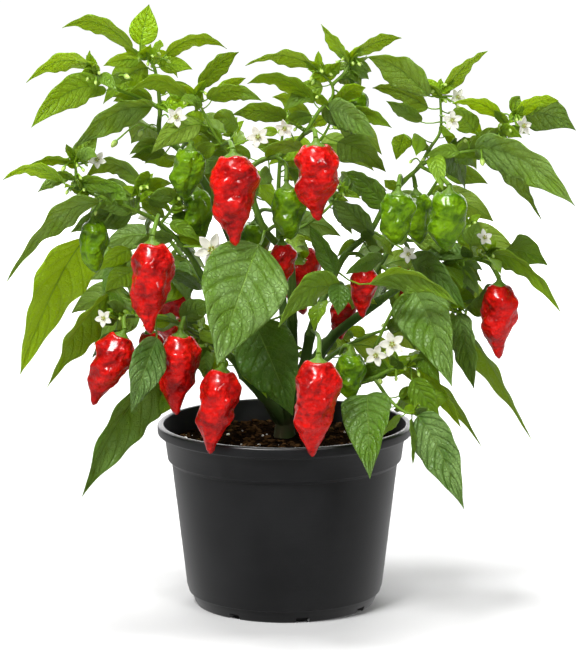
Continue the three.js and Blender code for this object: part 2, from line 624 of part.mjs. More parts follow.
const toFront = new THREE.Vector3(0, -1, 0.12).normalize();
const axisAt = (height) => new THREE.Vector3(0, 2, height); // the trunk's middle line
const FORK = axisAt(TRUNK_FORK - 6); // where the branches part inside the trunk
const BRANCH_SEAT = 1.4 * GAP; // along the branch, between its woody part and its leafy stem
const trunkParts = [];
const leafGreen = material(0x3f7a1e, 0.45);
const podMaterials = { red: material(0xb8100c, 0.22), green: material(0x6fa51c, 0.25) };
const petalWhite = material(0xf4f4e2, 0.5);
let leafCount = 0;

// The woody part of a stem goes to the trunk. Gives back the leafy rest of the stem.
function branch(places, woody) {
  const radii = taper(places.length, ...STEM_RADII);
  const along = places[woody].clone().sub(places[woody - 1]).normalize();
  trunkParts.push(stem([FORK, ...places.slice(0, woody)], [radii[0], ...radii.slice(0, woody)], STEM_SIDES));
  const line = places.slice(woody - 1);
  line[0] = line[0].clone().addScaledVector(along, BRANCH_SEAT + radii[woody - 1] * 0.25);
  return { line, radii: radii.slice(woody - 1) };
}

for (const [name, shoot] of Object.entries(LEAFY_STEMS)) {
  const main = branch(shoot.path.map(seen), shoot.woody);
  const twigs = shoot.twigs.map((twig) => twig.map(seen));
  const lines = [main.line, ...twigs];
  const parts = [stem(main.line, main.radii, STEM_SIDES)];
  for (const twig of twigs) parts.push(stem(twig, taper(twig.length, ...TWIG_RADII), STEM_SIDES));
  for (const numbers of shoot.leaves) {
    const [width, turn, rise] = numbers.slice(6);
    const base = seen(numbers.slice(0, 3));
    const tip = seen(numbers.slice(3, 6));
    const phase = GOLDEN_ANGLE * leafCount;
    parts.push(leaf({ root: nearestOn(lines, base), base, tip, width, turn, rise, toViewer: toFront, phase }));
    leafCount++;
  }
  for (const turn of shoot.farTurns) parts.push(farLeaf(lines, turn));
  shoot.pods.forEach(([podName, podTop, podTip, width, stalk], i) => {
    const top = seen(podTop);
    const tip = seen(podTip);
    const colour = podName.split("_")[0];
    parts.push(podStalk(stalk.map(seen), top, tip));
    addPiece(podName, pod(top, tip, width, POD_ROWS[colour], GOLDEN_ANGLE * (i + width)), podMaterials[colour]);
  });
  for (const [flowerName, place, width, rightwards, upwards] of shoot.flowers) {
    const middle = seen(place);
    const level = THREE.MathUtils.degToRad(rightwards);
    const lift = THREE.MathUtils.degToRad(upwards);
    const facing = new THREE.Vector3(
      Math.sin(level) * Math.cos(lift),
      -Math.cos(level) * Math.cos(lift),
      Math.sin(lift),
    );
    parts.push(flowerStalk(nearestOn(lines, middle), middle, facing));
    const petals = flowerName === SIX_PETALLED_FLOWER ? 6 : PETALS;
    addPiece(flowerName, corolla(middle, facing, width, petals), petalWhite);
  }
  addPiece(name, joined(parts), leafGreen);
}

// The trunk, from its foot in the soil to the fork where the branches part.
const trunkHeights = [TRUNK_FOOT, SOIL_LEVEL - 6, TRUNK_FORK - 4, TRUNK_FORK + 4];
const trunkRadii = [TRUNK_RADIUS - 1, TRUNK_RADIUS, TRUNK_RADIUS - 0.5, TRUNK_RADIUS - 2];
trunkParts.push(stem(trunkHeights.map(axisAt), trunkRadii, 8));
addPiece("trunk", joined(trunkParts), material(0x3d4a1f, 0.7));

// The pot: its outline goes up the outside, over the rolled lip and down the inside.
const innerWall = (outer) => outer - POT_WALL;
const potOutline = [
  [0, 0],
  [POT_BASE_RADIUS, 0],
  [POT_BASE_RADIUS + 1.6, 1.6],
  [POT_FOOT_RADIUS - 1.4, FOOT_LEDGE - 0.4],
  [POT_FOOT_RADIUS, FOOT_LEDGE],
  [POT_FOOT_RADIUS + 1.6, FOOT_LEDGE + 5],
  [POT_WALL_TOP_RADIUS, COLLAR_BOTTOM - 2.4],
  [COLLAR_RADIUS - 2.2, COLLAR_BOTTOM],
  [COLLAR_RADIUS, COLLAR_TOP],
  [POT_RIM_RADIUS - 0.8, COLLAR_TOP + 0.8],
  [POT_RIM_RADIUS, COLLAR_TOP + 2.6],
  [POT_RIM_RADIUS - 0.3, POT_HEIGHT - 1.4],
  [POT_RIM_RADIUS - 2.8, POT_HEIGHT],
  [POT_RIM_RADIUS - 4.2, POT_HEIGHT - 1],
  [innerWall(COLLAR_RADIUS) + 1.2, COLLAR_TOP],
  [innerWall(COLLAR_RADIUS) - 1.8, COLLAR_BOTTOM + 1.4],
  [innerWall(POT_WALL_TOP_RADIUS), COLLAR_BOTTOM - 1.2],
  [innerWall(POT_FOOT_RADIUS) + 1.2, FOOT_LEDGE + 5],
  [POT_BASE_RADIUS, POT_FLOOR],
  [0, POT_FLOOR],
].map(([radius, height]) => new THREE.Vector2(radius, height));
let pot = solidOf(new THREE.LatheGeometry(potOutline, POT_SIDES).rotateX(Math.PI / 2));
for (let i = 0; i < DRAIN_SLOTS; i++) {
  const slot = new THREE.BoxGeometry(DRAIN_SLOT_DEPTH, DRAIN_SLOT_WIDTH, DRAIN_SLOT_HEIGHT * 2);
  slot.translate(POT_BASE_RADIUS + 1, 0, 0).rotateZ((2 * Math.PI * (i + DRAIN_SLOT_START)) / DRAIN_SLOTS);
  pot = pot.subtract(solidOf(slot));
}
addPiece("pot", pot, material(0x2b2c2e, 0.5));

// The soil: it fills the pot to under the collar, with a lumpy top heaped round the trunk.
const SOIL_CLEARANCE = GAP + FACET_SLACK;
const soilSides = [
  [POT_BASE_RADIUS - 1.5, POT_FLOOR + GAP],
  [innerWall(POT_FOOT_RADIUS) + 1.2 - SOIL_CLEARANCE, FOOT_LEDGE + 5.2],
  [innerWall(POT_WALL_TOP_RADIUS) - SOIL_CLEARANCE, COLLAR_BOTTOM - 1.2],
  [innerWall(COLLAR_RADIUS) - 1.8 - SOIL_CLEARANCE, COLLAR_BOTTOM + 2],
  [innerWall(COLLAR_RADIUS) - 0.4 - SOIL_CLEARANCE, SOIL_LEVEL],
];
const soilTop = [
  [66, SOIL_LEVEL + 0.6], [50, SOIL_LEVEL + 1.4], [33, SOIL_LEVEL + 2.8], [18, SOIL_LEVEL + SOIL_HEAP],
];
const soilSections = [...soilSides, ...soilTop].map(([radius, height], i) => {
  const lumpy = i >= soilSides.length;
  return ring(new THREE.Vector3(0, 0, height), up, right, radius, SOIL_SIDES).map((corner, j) => {
    const lump = 1.3 * Math.sin(j * 2.1 + i * 1.7) + 0.7 * Math.cos(j * 3.7 - i);
    return corner.addScaledVector(up, lumpy ? lump : 0);
  });
});
const holeRadius = TRUNK_RADIUS + TRUNK_CLEARANCE;
const trunkHole = stem([TRUNK_FOOT - GAP, SOIL_LEVEL + 30].map(axisAt), [holeRadius, holeRadius], 12);
addPiece("soil", loft(soilSections).subtract(trunkHole), material(0x1d140e, 0.95));

export default plant;
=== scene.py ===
"""The looks of the potted chilli pepper plant, built round its solids.

Metres, +Z up, -Y towards the front. Measures in mm are turned into metres where a mesh is made.
"""

import math
import random

import bpy
import numpy as np
from mathutils import Matrix, Vector, noise


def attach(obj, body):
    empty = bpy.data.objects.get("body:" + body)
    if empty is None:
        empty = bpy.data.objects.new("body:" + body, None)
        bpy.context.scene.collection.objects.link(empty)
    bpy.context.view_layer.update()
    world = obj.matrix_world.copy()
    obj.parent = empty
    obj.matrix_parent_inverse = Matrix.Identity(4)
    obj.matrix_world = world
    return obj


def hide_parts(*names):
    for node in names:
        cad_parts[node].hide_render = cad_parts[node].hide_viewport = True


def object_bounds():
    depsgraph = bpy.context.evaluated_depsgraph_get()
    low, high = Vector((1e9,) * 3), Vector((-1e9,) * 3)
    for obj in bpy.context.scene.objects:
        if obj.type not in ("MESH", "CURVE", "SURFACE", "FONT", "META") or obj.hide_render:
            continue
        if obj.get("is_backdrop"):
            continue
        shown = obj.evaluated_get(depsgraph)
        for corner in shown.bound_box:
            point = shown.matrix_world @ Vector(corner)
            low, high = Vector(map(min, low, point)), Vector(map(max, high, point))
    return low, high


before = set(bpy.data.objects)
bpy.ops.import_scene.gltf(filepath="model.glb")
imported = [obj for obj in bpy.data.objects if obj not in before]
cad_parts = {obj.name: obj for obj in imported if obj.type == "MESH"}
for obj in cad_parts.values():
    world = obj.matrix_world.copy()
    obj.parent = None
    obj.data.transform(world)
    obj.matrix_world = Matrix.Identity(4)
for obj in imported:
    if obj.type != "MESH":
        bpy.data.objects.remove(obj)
cad_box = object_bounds()

MM = 0.001
GOLDEN_ANGLE = 2.399963
GAP = 0.3
BOX_MARGIN = 0.2  # how far the pieces stay inside the solids' box, in mm, except at the floor

# The pot and its soil, in mm.
POT_RIM_RADIUS = 85
POT_HEIGHT = 122.4
POT_BASE_RADIUS = 59
POT_FOOT_RADIUS = 64.6
POT_WALL_TOP_RADIUS = 75.6
POT_WALL = 2
POT_FLOOR = 2.4
COLLAR_BOTTOM = 98.6
COLLAR_TOP = 114.6
COLLAR_RADIUS = 80.4
FOOT_LEDGE = 8.8
DRAIN_SLOTS = 8
DRAIN_SLOT_WIDTH = 9
DRAIN_SLOT_HEIGHT = 3.6
DRAIN_SLOT_DEPTH = 14
DRAIN_SLOT_START = 0.25
DRAIN_SLOT_BEVEL = 0.8
POT_STEPS = 120
SOIL_LEVEL = 108
SOIL_HEAP = 5
SOIL_RINGS = 40
SOIL_STEPS = 160

# The trunk, stems and stalks, in mm.
TRUNK_RADIUS = 7
TRUNK_BACK = 2
TRUNK_FOOT = 92
TRUNK_FORK = 124
TRUNK_SWELLINGS = (-1, 1.2, 0.4, -0.4, -1.2, -3.5)
STEM_RADII = (4, 0.8)
TWIG_RADII = (1.3, 0.7)
BRANCH_SEAT = 1.4 * GAP
STEM_OVERLAP = 0.6
PEDICEL_RADIUS = 1.5
FLOWER_STALK_RADIUS = 0.8
BUD_STALK_RADII = (0.45, 0.65)
JOINT_SWELLING = 1.14

# Blades. Lengths in mm, angles in degrees, the rest as shares of the blade's length or width.
BLADE_SHEETS = ((16, 8), (34, 14), (56, 24))  # rows and columns for small, middling and large leaves
BLADE_WIDEST = 0.34
BLADE_BASE_POWER = 0.62
BLADE_TIP_POWER = 1.2
BLADE_FOLD = 16
BLADE_FOLD_SPREAD = 8
SMALL_BLADE_FOLD = 9
BLADE_TWIST = 10
ROW_CROWDING = 1.6
EDGE_WAVE = 0.05
EDGE_WAVE_RATE = 9
RUFFLE = 0.035
QUILT = 0.02
BLADE_SKIN = 0.34
VEIN_PAIRS = 7
VEIN_SWEEP = 0.3
VEIN_CURVE = 1.3
SMALL_LEAF = 24
LARGE_LEAF = 58
FULL_LEAF = 62
FAR_LEAF_LENGTH = 40
FAR_LEAF_SPREAD = 20
FAR_LEAF_WIDTH = 0.47
FAR_LEAF_TURN = 44
FAR_LEAF_ARCH = 0.12
FAR_LEAF_STALK = 7
INNER_LEAVES = 16  # on each stem
INNER_LEAF_LENGTH = (13, 32)
INNER_DARK_BELOW = 300
TUFT_LEAVES = 6  # round each growing tip
TUFT_LEAF_LENGTH = (6, 13)
TUFT_LEAF_WIDTH = 0.44
TUFT_LEAF_TURN = 25
TUFT_BUDS = 3
TUFT_BUD_LENGTH = (3, 4.6)
TO_FRONT = Vector((0, -1, 0.12)).normalized()

# Pods. An outline runs from the top, 0, to the tip, 1, with the half width there as a share of the widest.
POD_TOP = 0.07  # share of the pod's rings that lie on its flat top
POD_KINDS = {
    "ripe": {
        "outline": [
            (0, 0.5), (0.03, 0.68), (0.09, 0.87), (0.17, 0.98), (0.26, 1), (0.38, 0.93),
            (0.5, 0.92), (0.63, 0.78), (0.76, 0.5), (0.88, 0.29), (0.96, 0.2), (1, 0.14),
        ],
        "relief": 0.1,
        "furrow": 0.04,
    },
    "green": {
        "outline": [
            (0, 0.62), (0.06, 0.86), (0.16, 0.98), (0.3, 0.99), (0.45, 0.94), (0.58, 0.93),
            (0.7, 0.82), (0.82, 0.6), (0.93, 0.34), (1, 0.1),
        ],
        "relief": 0.05,
        "furrow": 0.1,
    },
}

# Rings of the green cap on a pod, from its stalk to its edge and back under it: height and radius, in mm.
CAP_RINGS = [
    (6.4, 1.5), (4.8, 1.8), (3.6, 2.5), (2.7, 3.6), (1.9, 4.7),
    (1.1, 5.5), (0.4, 5.9), (0.0, 5.7), (0.3, 5.0), (1.2, 3.4),
]
CAP_RADIUS = 5.7
CAP_POD_WIDTH = 27  # the width of a pod that the cap fits as it is

# A flower of unit width, by its number of petals: the half width of a petal.
PETAL_SPREAD = {5: 0.15, 6: 0.125}
SIX_PETALLED_FLOWER = "flower_1"

# Colours of the skins.
LEAF_GLOW = (0.8, 0.92, 0.002)
LEAF_TOP = {
    "young": (0.24, 0.45, 0.002),
    "old": (0.034, 0.125, 0.002),
    # "bloom" is a painted sheen: the grey-green of light reflected off the leaf, put into its colour.
    "bloom": (0.25, 0.42, 0.12),
    "vein": (0.38, 0.58, 0.1),
    "roughness": 0.34,
    "relief": 1.35,
}
LEAF_UNDERSIDE = {
    "young": (0.28, 0.44, 0.03),
    "old": (0.08, 0.17, 0.015),
    # "bloom" is a painted sheen on the underside, as on the top.
    "bloom": (0.15, 0.27, 0.07),
    "vein": (0.34, 0.48, 0.12),
    "roughness": 0.5,
    "relief": 1.0,
}
POD_SKINS = {
    "ripe": {
        "deep": (0.22, 0.0006, 0.0006),
        "bright": (0.56, 0.004, 0.0018),
        # "fold" is painted shade: a dark red put into the creases of the pod's shape.
        "fold": (0.1, 0.0004, 0.0004),
        "coat": 0.65,
    },
    "green": {
        "deep": (0.042, 0.115, 0.001),
        "bright": (0.13, 0.255, 0.002),
        # "fold" is painted shade in the creases, as on the ripe pods.
        "fold": (0.015, 0.05, 0.001),
        "coat": 0.45,
    },
}
YOUNG_SHOOT = (0.17, 0.32, 0.012)
OLD_SHOOT = (0.035, 0.08, 0.008)

# The viewer's place and view, in mm, degrees and pixels of the 578 x 670 picture.
EYE = Vector((2.9, -1940, 520))
EYE_PITCH = math.radians(9.9)
EYE_FOCAL = 2960
PICTURE_WIDTH = 578
VIEW_MIDDLE_COLUMN = 289
VIEW_MIDDLE_ROW = 335
SENSOR = 36

# Each softbox: its place, the place it shines at, its width and height, all in metres, and its watts.
SOFTBOXES = {
    "key_light": ((-0.9, -1.3, 1.9), (0, 0, 0.25), (0.75, 0.5), 68),
    "fill_light": ((0.8, -1.5, 1.35), (0, 0, 0.2), (0.45, 0.35), 11),
    "top_light": ((0.0, 0.2, 2.0), (0, 0, 0.3), (0.8, 0.6), 40),
    "back_wall": ((0, 1.8, 0.8), (0, 0, 0.3), (2.6, 1.4), 46),
}

# The room's glow over the horizon, and under it, where only reflections see it.
GLOW_ABOVE = 0.08
GLOW_BELOW_FRONT = 0.2
GLOW_BELOW_BACK = 0.75
FLOOR_RADIUS = 40

# Each leafy stem starts in the trunk. A place is a column and a row of the picture and mm behind the trunk.
# "path" lists the places of the stem, and the first "woody" ones are part of the trunk. "twigs" grow from
# the path or from each other. A leaf is the place of its base, the place of its tip, its width, how far its
# blade turns away from the viewer (degrees) and how far its middle arches (mm), and then its age and the
# share of its painted grey-green sheen, from 0 to 1, where these aren't left to chance. Young leaves are
# too small for the solids. The far turns are the turns of the stem that carry a leaf on its far side. A pod
# is its name, the places of its top and tip, its width, and the places along its stalk. A flower is its
# name, its place, its width, and the way it faces (degrees right, degrees up). A bud is its place and its
# length.
LEAFY_STEMS = {
    "top_left": {
        "path": [
            [272, 402, 8], [262, 330, 24], [240, 262, 26], [215, 200, 22], [190, 160, 15], [180, 150, 12],
            [160, 133, 8], [160, 110, 5], [157, 80, 2], [153, 65, 0], [140, 52, -2],
        ],
        "woody": 4,
        "twigs": [[[159, 108, 5], [140, 98, -2], [115, 88, -16], [100, 76, -24], [90, 68, -27]]],
        "leaves": [
            [140, 45, -3, 149, 4, 2, 19, 10, 0], [132, 48, -12, 62, 28, -22, 20, 53, 10],
            [166, 55, 0, 227, 49, 8, 19, 60, 9], [140, 60, 4, 103, 66, 12, 12, 33, 2],
            [95, 69, -26, 26, 83, -42, 21, 63, 10], [98, 86, -24, 31, 128, -46, 24, 38, 8],
            [152, 107, 0, 72, 150, -38, 27, 50, 9, 0.45, 1], [150, 60, 4, 178, 78, 34, 16, 50, 6],
            [104, 78, -20, 88, 96, 6, 15, 50, 4],
        ],
        "young_leaves": [
            [150, 100, 4, 112, 97, -6, 14, 45, 3], [163, 155, 8, 131, 158, -4, 16, 45, 3],
            [138, 56, -2, 124, 48, -8, 7, 40, 1], [141, 58, -2, 150, 46, -10, 6, 30, 1],
            [98, 74, -26, 86, 60, -34, 8, 40, 1], [94, 70, -28, 78, 76, -34, 8, 50, 1],
            [156, 84, 2, 142, 74, -8, 9, 40, 1], [158, 92, 2, 172, 84, 8, 9, 40, 1],
        ],
        "far_turns": [0, 2, 8, 14],
        "pods": [["green_pod_2", [190, 152, -30], [183, 200, -32], 22, [[180, 150, 12], [188, 141, -12]]]],
        "flowers": [["flower_2", [176, 117, -26], 14, 10, 10]],
        "buds": [
            [124, 75, -20, 6], [157, 53, -2, 4], [167, 60, -4, 4], [148, 62, -4, 4], [96, 80, -30, 4],
            [143, 130, 2, 6], [117, 140, -6, 7], [88, 76, -30, 4], [168, 108, -2, 4], [172, 124, -8, 4],
        ],
    },
    "upper_left": {
        "path": [
            [270, 404, 2], [258, 340, 6], [238, 308, 6], [207, 285, 0], [186, 250, -6], [160, 224, -12],
            [137, 211, -20], [105, 199, -28], [73, 187, -34],
        ],
        "woody": 4,
        "twigs": [
            [[160, 224, -12], [170, 212, -6], [176, 201, -4]], [[137, 211, -20], [140, 190, -18]],
            [[75, 187, -34], [76, 172, -32], [74, 160, -32]],
        ],
        "leaves": [
            [73, 163, -32, 29, 165, -42, 13, 60, 3], [62, 182, -36, 3, 180, -50, 18, 61, 9, 0.05, 0],
            [140, 184, -16, 84, 180, -8, 20, 55, 12], [80, 185, -36, 122, 193, -52, 14, 36, 3],
            [76, 161, -30, 98, 135, -26, 14, 5, 1], [175, 197, -8, 148, 199, -20, 12, 20, 2],
            [98, 203, -36, 6, 283, -66, 30, 60, 14, 0.6, 1], [132, 214, -14, 70, 233, -14, 22, 31, 4],
            [172, 240, -14, 135, 245, -26, 12, 33, 3], [85, 238, 6, 20, 375, 20, 44, 47, 10, 0.12, 0.1],
            [130, 250, 2, 100, 270, 14, 15, 30, 2, 0.2, 0], [134, 270, 6, 105, 292, 18, 18, 30, 2, 0.3, 0],
            [192, 284, 4, 160, 278, 22, 15, 40, 3],
        ],
        "young_leaves": [
            [150, 177, -10, 131, 197, -22, 15, 40, 2], [200, 290, 0, 170, 272, -16, 16, 50, 3],
            [74, 180, -34, 58, 172, -42, 7, 40, 1], [76, 190, -34, 90, 180, -40, 6, 40, 1],
            [73, 158, -32, 66, 144, -38, 6, 30, 1], [176, 200, -4, 190, 190, -12, 8, 40, 1],
            [120, 205, -26, 112, 190, -36, 10, 40, 2], [90, 192, -32, 74, 206, -42, 9, 40, 2],
        ],
        "far_turns": [0, 2, 6],
        "pods": [
            ["red_pod_3", [152, 246, -62], [149, 334, -66], 29, [[158, 223, -14], [158, 216, -42]]],
            ["green_pod_1", [93, 224, -32], [95, 273, -34], 19, [[105, 199, -28], [99, 205, -34]]],
            ["green_pod_3", [195, 192, 4], [200, 243, 0], 20,
                [[188, 254, -6], [178, 222, 18], [186, 190, 10]]],
        ],
        "flowers": [["flower_9", [97, 160, -22], 12, 10, 20], ["flower_1", [212, 250, -52], 23, 0, 5]],
        "buds": [
            [65, 166, -38, 5], [80, 176, -38, 4], [68, 190, -38, 4], [172, 190, -8, 4], [146, 186, -22, 4],
            [96, 210, -34, 4], [82, 168, -36, 4],
        ],
    },
    "low_left": {
        "path": [
            [279, 414, -4], [262, 395, -8], [243, 375, -16], [232, 358, -22], [215, 345, -28],
            [195, 333, -33], [170, 320, -36], [140, 316, -38], [118, 318, -40],
        ],
        "woody": 3,
        "twigs": [],
        "leaves": [
            [108, 296, -34, 47, 388, -52, 36, 56, 8, 0.35, 0.4], [116, 330, -30, 92, 358, -10, 12, 48, 1],
            [163, 372, -40, 82, 497, -78, 44, 47, 12], [157, 338, -70, 131, 413, -92, 25, 30, 2],
            [172, 392, -44, 160, 415, -48, 11, 20, 0], [205, 350, -30, 207, 382, -34, 15, 40, 0],
        ],
        "young_leaves": [
            [118, 318, -40, 102, 326, -50, 8, 40, 1], [120, 316, -40, 106, 304, -34, 8, 40, 1],
            [150, 318, -37, 140, 304, -46, 10, 40, 2],
        ],
        "far_turns": [0, 2, 8],
        "pods": [
            ["red_pod_4", [121, 338, -62], [92, 405, -66], 26, [[134, 316, -38], [124, 318, -56]]],
            ["red_pod_5", [180, 338, -54], [175, 415, -56], 28, [[186, 328, -35], [184, 318, -50]]],
            ["red_pod_6", [222, 373, -78], [209, 454, -84], 27, [[230, 358, -23], [224, 350, -62]]],
            ["red_pod_13", [150, 334, -14], [152, 378, -12], 19, [[156, 318, -37], [150, 316, -16]]],
        ],
        "flowers": [["flower_10", [104, 318, -62], 12, -20, 0]],
        "buds": [[110, 312, -46, 4], [124, 326, -44, 4]],
    },
    "middle": {
        "path": [
            [284, 415, 2], [292, 370, 6], [292, 320, 6], [290, 265, 4], [283, 250, 2], [265, 230, -4],
            [252, 195, -4], [250, 170, -4], [262, 160, -4], [280, 155, -6], [303, 135, -8], [320, 110, -10],
            [332, 98, -10], [332, 85, -10], [318, 70, -12],
        ],
        "woody": 3,
        "twigs": [
            [[332, 85, -10], [345, 72, -6], [352, 58, -4]],
            [[250, 170, -4], [230, 155, -10], [212, 130, -14], [205, 115, -16], [195, 95, -18]],
        ],
        "leaves": [
            [258, 245, -52, 217, 365, -88, 56, 8, 3, 0.7, 1],
            [254, 322, -30, 293, 416, -44, 44, 4, 2, 0.95, 0.35], [186, 96, -24, 128, 93, -36, 18, 53, 9],
            [199, 86, -16, 239, 52, -8, 19, 50, 3], [212, 100, -4, 246, 78, 10, 12, 40, 2],
            [208, 99, -22, 262, 101, -40, 18, 55, 6], [314, 103, -10, 247, 84, -22, 22, 62, 10],
            [311, 120, -4, 272, 97, 14, 18, 52, 4], [315, 68, -13, 245, 66, -20, 22, 64, 8],
            [327, 76, -10, 341, 62, -14, 11, 40, 1], [348, 62, -8, 321, 24, -14, 15, 63, 1],
            [354, 54, -4, 402, 38, 6, 16, 58, 3], [285, 118, -20, 232, 115, -36, 19, 50, 4],
            [238, 128, 4, 213, 118, 22, 16, 40, 3], [222, 142, -12, 200, 131, 4, 12, 35, 2],
            [240, 156, 2, 205, 147, 20, 15, 38, 3], [300, 150, -14, 265, 148, -34, 15, 50, 3],
            [270, 172, -12, 258, 186, -26, 12, 25, 1], [330, 110, -14, 375, 138, -34, 24, 42, 4, 0.6, 1],
            [338, 104, -6, 366, 88, -24, 16, 50, 4], [338, 142, -4, 386, 172, 8, 27, 45, 4, 0.6, 0.8],
        ],
        "young_leaves": [
            [194, 96, -18, 180, 84, -26, 8, 40, 1], [196, 94, -18, 206, 80, -26, 8, 40, 1],
            [326, 106, -10, 312, 92, -18, 8, 40, 1], [328, 104, -10, 344, 96, -2, 8, 40, 1],
            [351, 58, -4, 362, 46, -10, 8, 40, 1], [349, 60, -4, 338, 46, -8, 7, 40, 1],
            [352, 112, -6, 392, 128, -16, 15, 45, 3], [318, 70, -12, 304, 60, -18, 8, 40, 1],
            [254, 186, -4, 240, 198, -14, 10, 40, 2], [268, 158, -5, 276, 142, -12, 9, 40, 2],
        ],
        "far_turns": [0, 1, 6, 15, 17],
        "pods": [
            ["red_pod_1", [233, 159, -58], [234, 246, -64], 31, [[222, 145, -12], [230, 142, -44]]],
            ["red_pod_2", [316, 148, -44], [317, 221, -46], 31, [[305, 134, -8], [314, 130, -32]]],
            ["green_pod_4", [287, 190, -28], [290, 240, -30], 23, [[276, 156, -5], [286, 166, -22]]],
            ["red_pod_9", [282, 246, -24], [284, 288, -26], 18, [[266, 232, -4], [276, 226, -14]]],
            ["green_pod_8", [354, 94, 6], [356, 134, 5], 20, [[340, 78, -8], [350, 78, 2]]],
        ],
        "flowers": [["flower_3", [258, 137, -30], 15, 0, 10], ["flower_6", [285, 128, -36], 13, -20, -20]],
        "buds": [
            [204, 92, -22, 4], [186, 100, -22, 4], [318, 96, -18, 4], [338, 92, -6, 4], [281, 130, -18, 5],
            [358, 62, -8, 4], [344, 58, -8, 4], [312, 76, -16, 4], [296, 128, -16, 4], [250, 176, -12, 5],
        ],
    },
    "top_right": {
        "path": [
            [288, 412, -4], [303, 370, -8], [310, 335, -10], [318, 310, -8], [330, 285, -4], [345, 255, 0],
            [370, 232, 2], [385, 205, 2], [405, 180, 0], [418, 168, -4], [430, 148, -6], [440, 132, -6],
            [440, 92, -6],
        ],
        "woody": 3,
        "twigs": [[[420, 166, -4], [440, 155, -10], [480, 148, -16], [500, 130, -18], [515, 115, -20]]],
        "leaves": [
            [335, 290, -34, 278, 328, -72, 24, 29, 12, 0.4, 0.6], [336, 274, -22, 309, 224, -28, 17, 40, 2],
            [340, 284, -40, 338, 315, -60, 15, 5, 0], [382, 260, -34, 345, 275, -56, 14, 40, 3],
            [370, 284, -44, 458, 306, -76, 27, 58, 13, 0.4, 0.7],
            [428, 96, -10, 367, 57, -24, 28, 50, 6, 0.5, 0.9], [428, 108, -2, 372, 88, 22, 20, 55, 4],
            [443, 92, -6, 488, 51, 0, 17, 55, 4, 0.2, 0.3],
            [501, 118, -20, 452, 104, -34, 16, 55, 6, 0.02, 0], [475, 130, -20, 448, 112, -34, 16, 20, 2],
            [517, 114, -22, 559, 101, -24, 16, 52, 4, 0.02, 0], [512, 112, -14, 520, 96, -8, 11, 30, 1],
            [501, 130, -18, 522, 138, -32, 10, 40, 2], [476, 148, -18, 575, 206, -46, 36, 48, 10, 0.55, 1],
            [500, 158, -10, 542, 221, 14, 20, 60, 5], [420, 122, -6, 386, 101, -24, 14, 45, 2],
            [404, 134, -2, 396, 160, 2, 15, 30, 1], [420, 136, -14, 416, 156, -26, 12, 30, 1],
            [372, 236, -2, 330, 200, -12, 22, 50, 4], [386, 208, -4, 345, 172, 10, 22, 50, 4],
        ],
        "young_leaves": [
            [498, 132, -18, 482, 142, -28, 10, 40, 1], [440, 98, -6, 428, 84, -14, 8, 40, 1],
            [442, 94, -6, 454, 80, -2, 8, 40, 1], [506, 124, -19, 494, 110, -28, 8, 40, 1],
            [426, 150, -6, 410, 140, -14, 10, 40, 1], [398, 190, 0, 384, 180, -12, 10, 40, 1],
            [514, 116, -20, 524, 106, -26, 7, 40, 1], [460, 151, -12, 470, 138, -20, 9, 40, 2],
            [440, 130, -6, 452, 136, -14, 8, 40, 1], [362, 238, 1, 378, 246, -8, 11, 40, 2],
        ],
        "far_turns": [0, 1, 3, 5, 11, 19],
        "pods": [
            ["green_pod_5", [398, 196, -42], [395, 245, -44], 23, [[402, 182, 0], [400, 176, -30]]],
            ["green_pod_6", [416, 196, 4], [419, 244, 2], 20, [[412, 173, -2], [414, 178, 4]]],
            ["green_pod_7", [449, 195, -38], [445, 252, -40], 25, [[420, 166, -5], [442, 178, -28]]],
            ["red_pod_7", [318, 364, -90], [311, 457, -95], 31, [[312, 330, -10], [319, 338, -60]]],
            ["red_pod_10", [364, 268, -14], [362, 318, -16], 19, [[347, 254, 0], [358, 254, -10]]],
            ["red_pod_12", [343, 300, 26], [340, 340, 26], 18, [[332, 282, -4], [342, 284, 18]]],
        ],
        "flowers": [
            ["flower_7", [523, 126, -28], 13, 40, 10], ["flower_11", [457, 97, -14], 12, 30, 10],
            ["flower_12", [452, 120, -36], 13, 10, 0], ["flower_14", [408, 254, -16], 12, 10, 0],
        ],
        "buds": [
            [482, 158, -22, 6], [444, 84, -8, 4], [434, 90, -10, 4], [510, 128, -24, 4], [520, 118, -24, 4],
            [466, 140, -20, 4], [448, 126, -14, 4], [424, 158, -12, 4], [456, 104, -12, 4],
            [392, 196, -4, 5], [500, 138, -22, 4], [412, 160, -10, 4],
        ],
    },
    "right_middle": {
        "path": [
            [293, 404, 8], [325, 345, 16], [380, 300, 16], [420, 275, 8], [450, 262, 0], [470, 259, -5],
            [490, 256, -8],
        ],
        "woody": 3,
        "twigs": [],
        "leaves": [
            [412, 262, -4, 466, 310, -38, 26, 35, 6], [468, 285, 10, 466, 315, 18, 11, 40, 1],
            [470, 245, -6, 478, 222, -2, 15, 10, 0], [490, 255, -8, 561, 313, -22, 24, 62, 12, 0.35, 0.3],
        ],
        "young_leaves": [
            [488, 256, -8, 500, 248, -16, 8, 40, 1], [470, 259, -5, 462, 246, -12, 8, 40, 1],
            [452, 262, 0, 440, 250, -10, 10, 40, 2],
        ],
        "far_turns": [0, 1, 3, 5],
        "pods": [["red_pod_8", [499, 287, -12], [498, 359, -14], 25, [[476, 259, -6], [490, 264, -10]]]],
        "flowers": [["flower_8", [484, 238, -20], 12, 30, 30]],
        "buds": [[464, 275, -8, 6], [493, 262, -12, 6], [480, 250, -12, 4], [496, 250, -12, 4]],
    },
    "low_right": {
        "path": [
            [292, 410, -2], [320, 394, -10], [345, 385, -18], [375, 378, -26], [390, 370, -30],
            [412, 366, -32],
        ],
        "woody": 3,
        "twigs": [
            [[375, 379, -26], [390, 400, -38], [405, 412, -46], [415, 414, -50]],
            [[360, 381, -22], [376, 345, -14], [392, 312, -12], [405, 294, -14], [440, 300, -10],
                [460, 312, -8]],
        ],
        "leaves": [
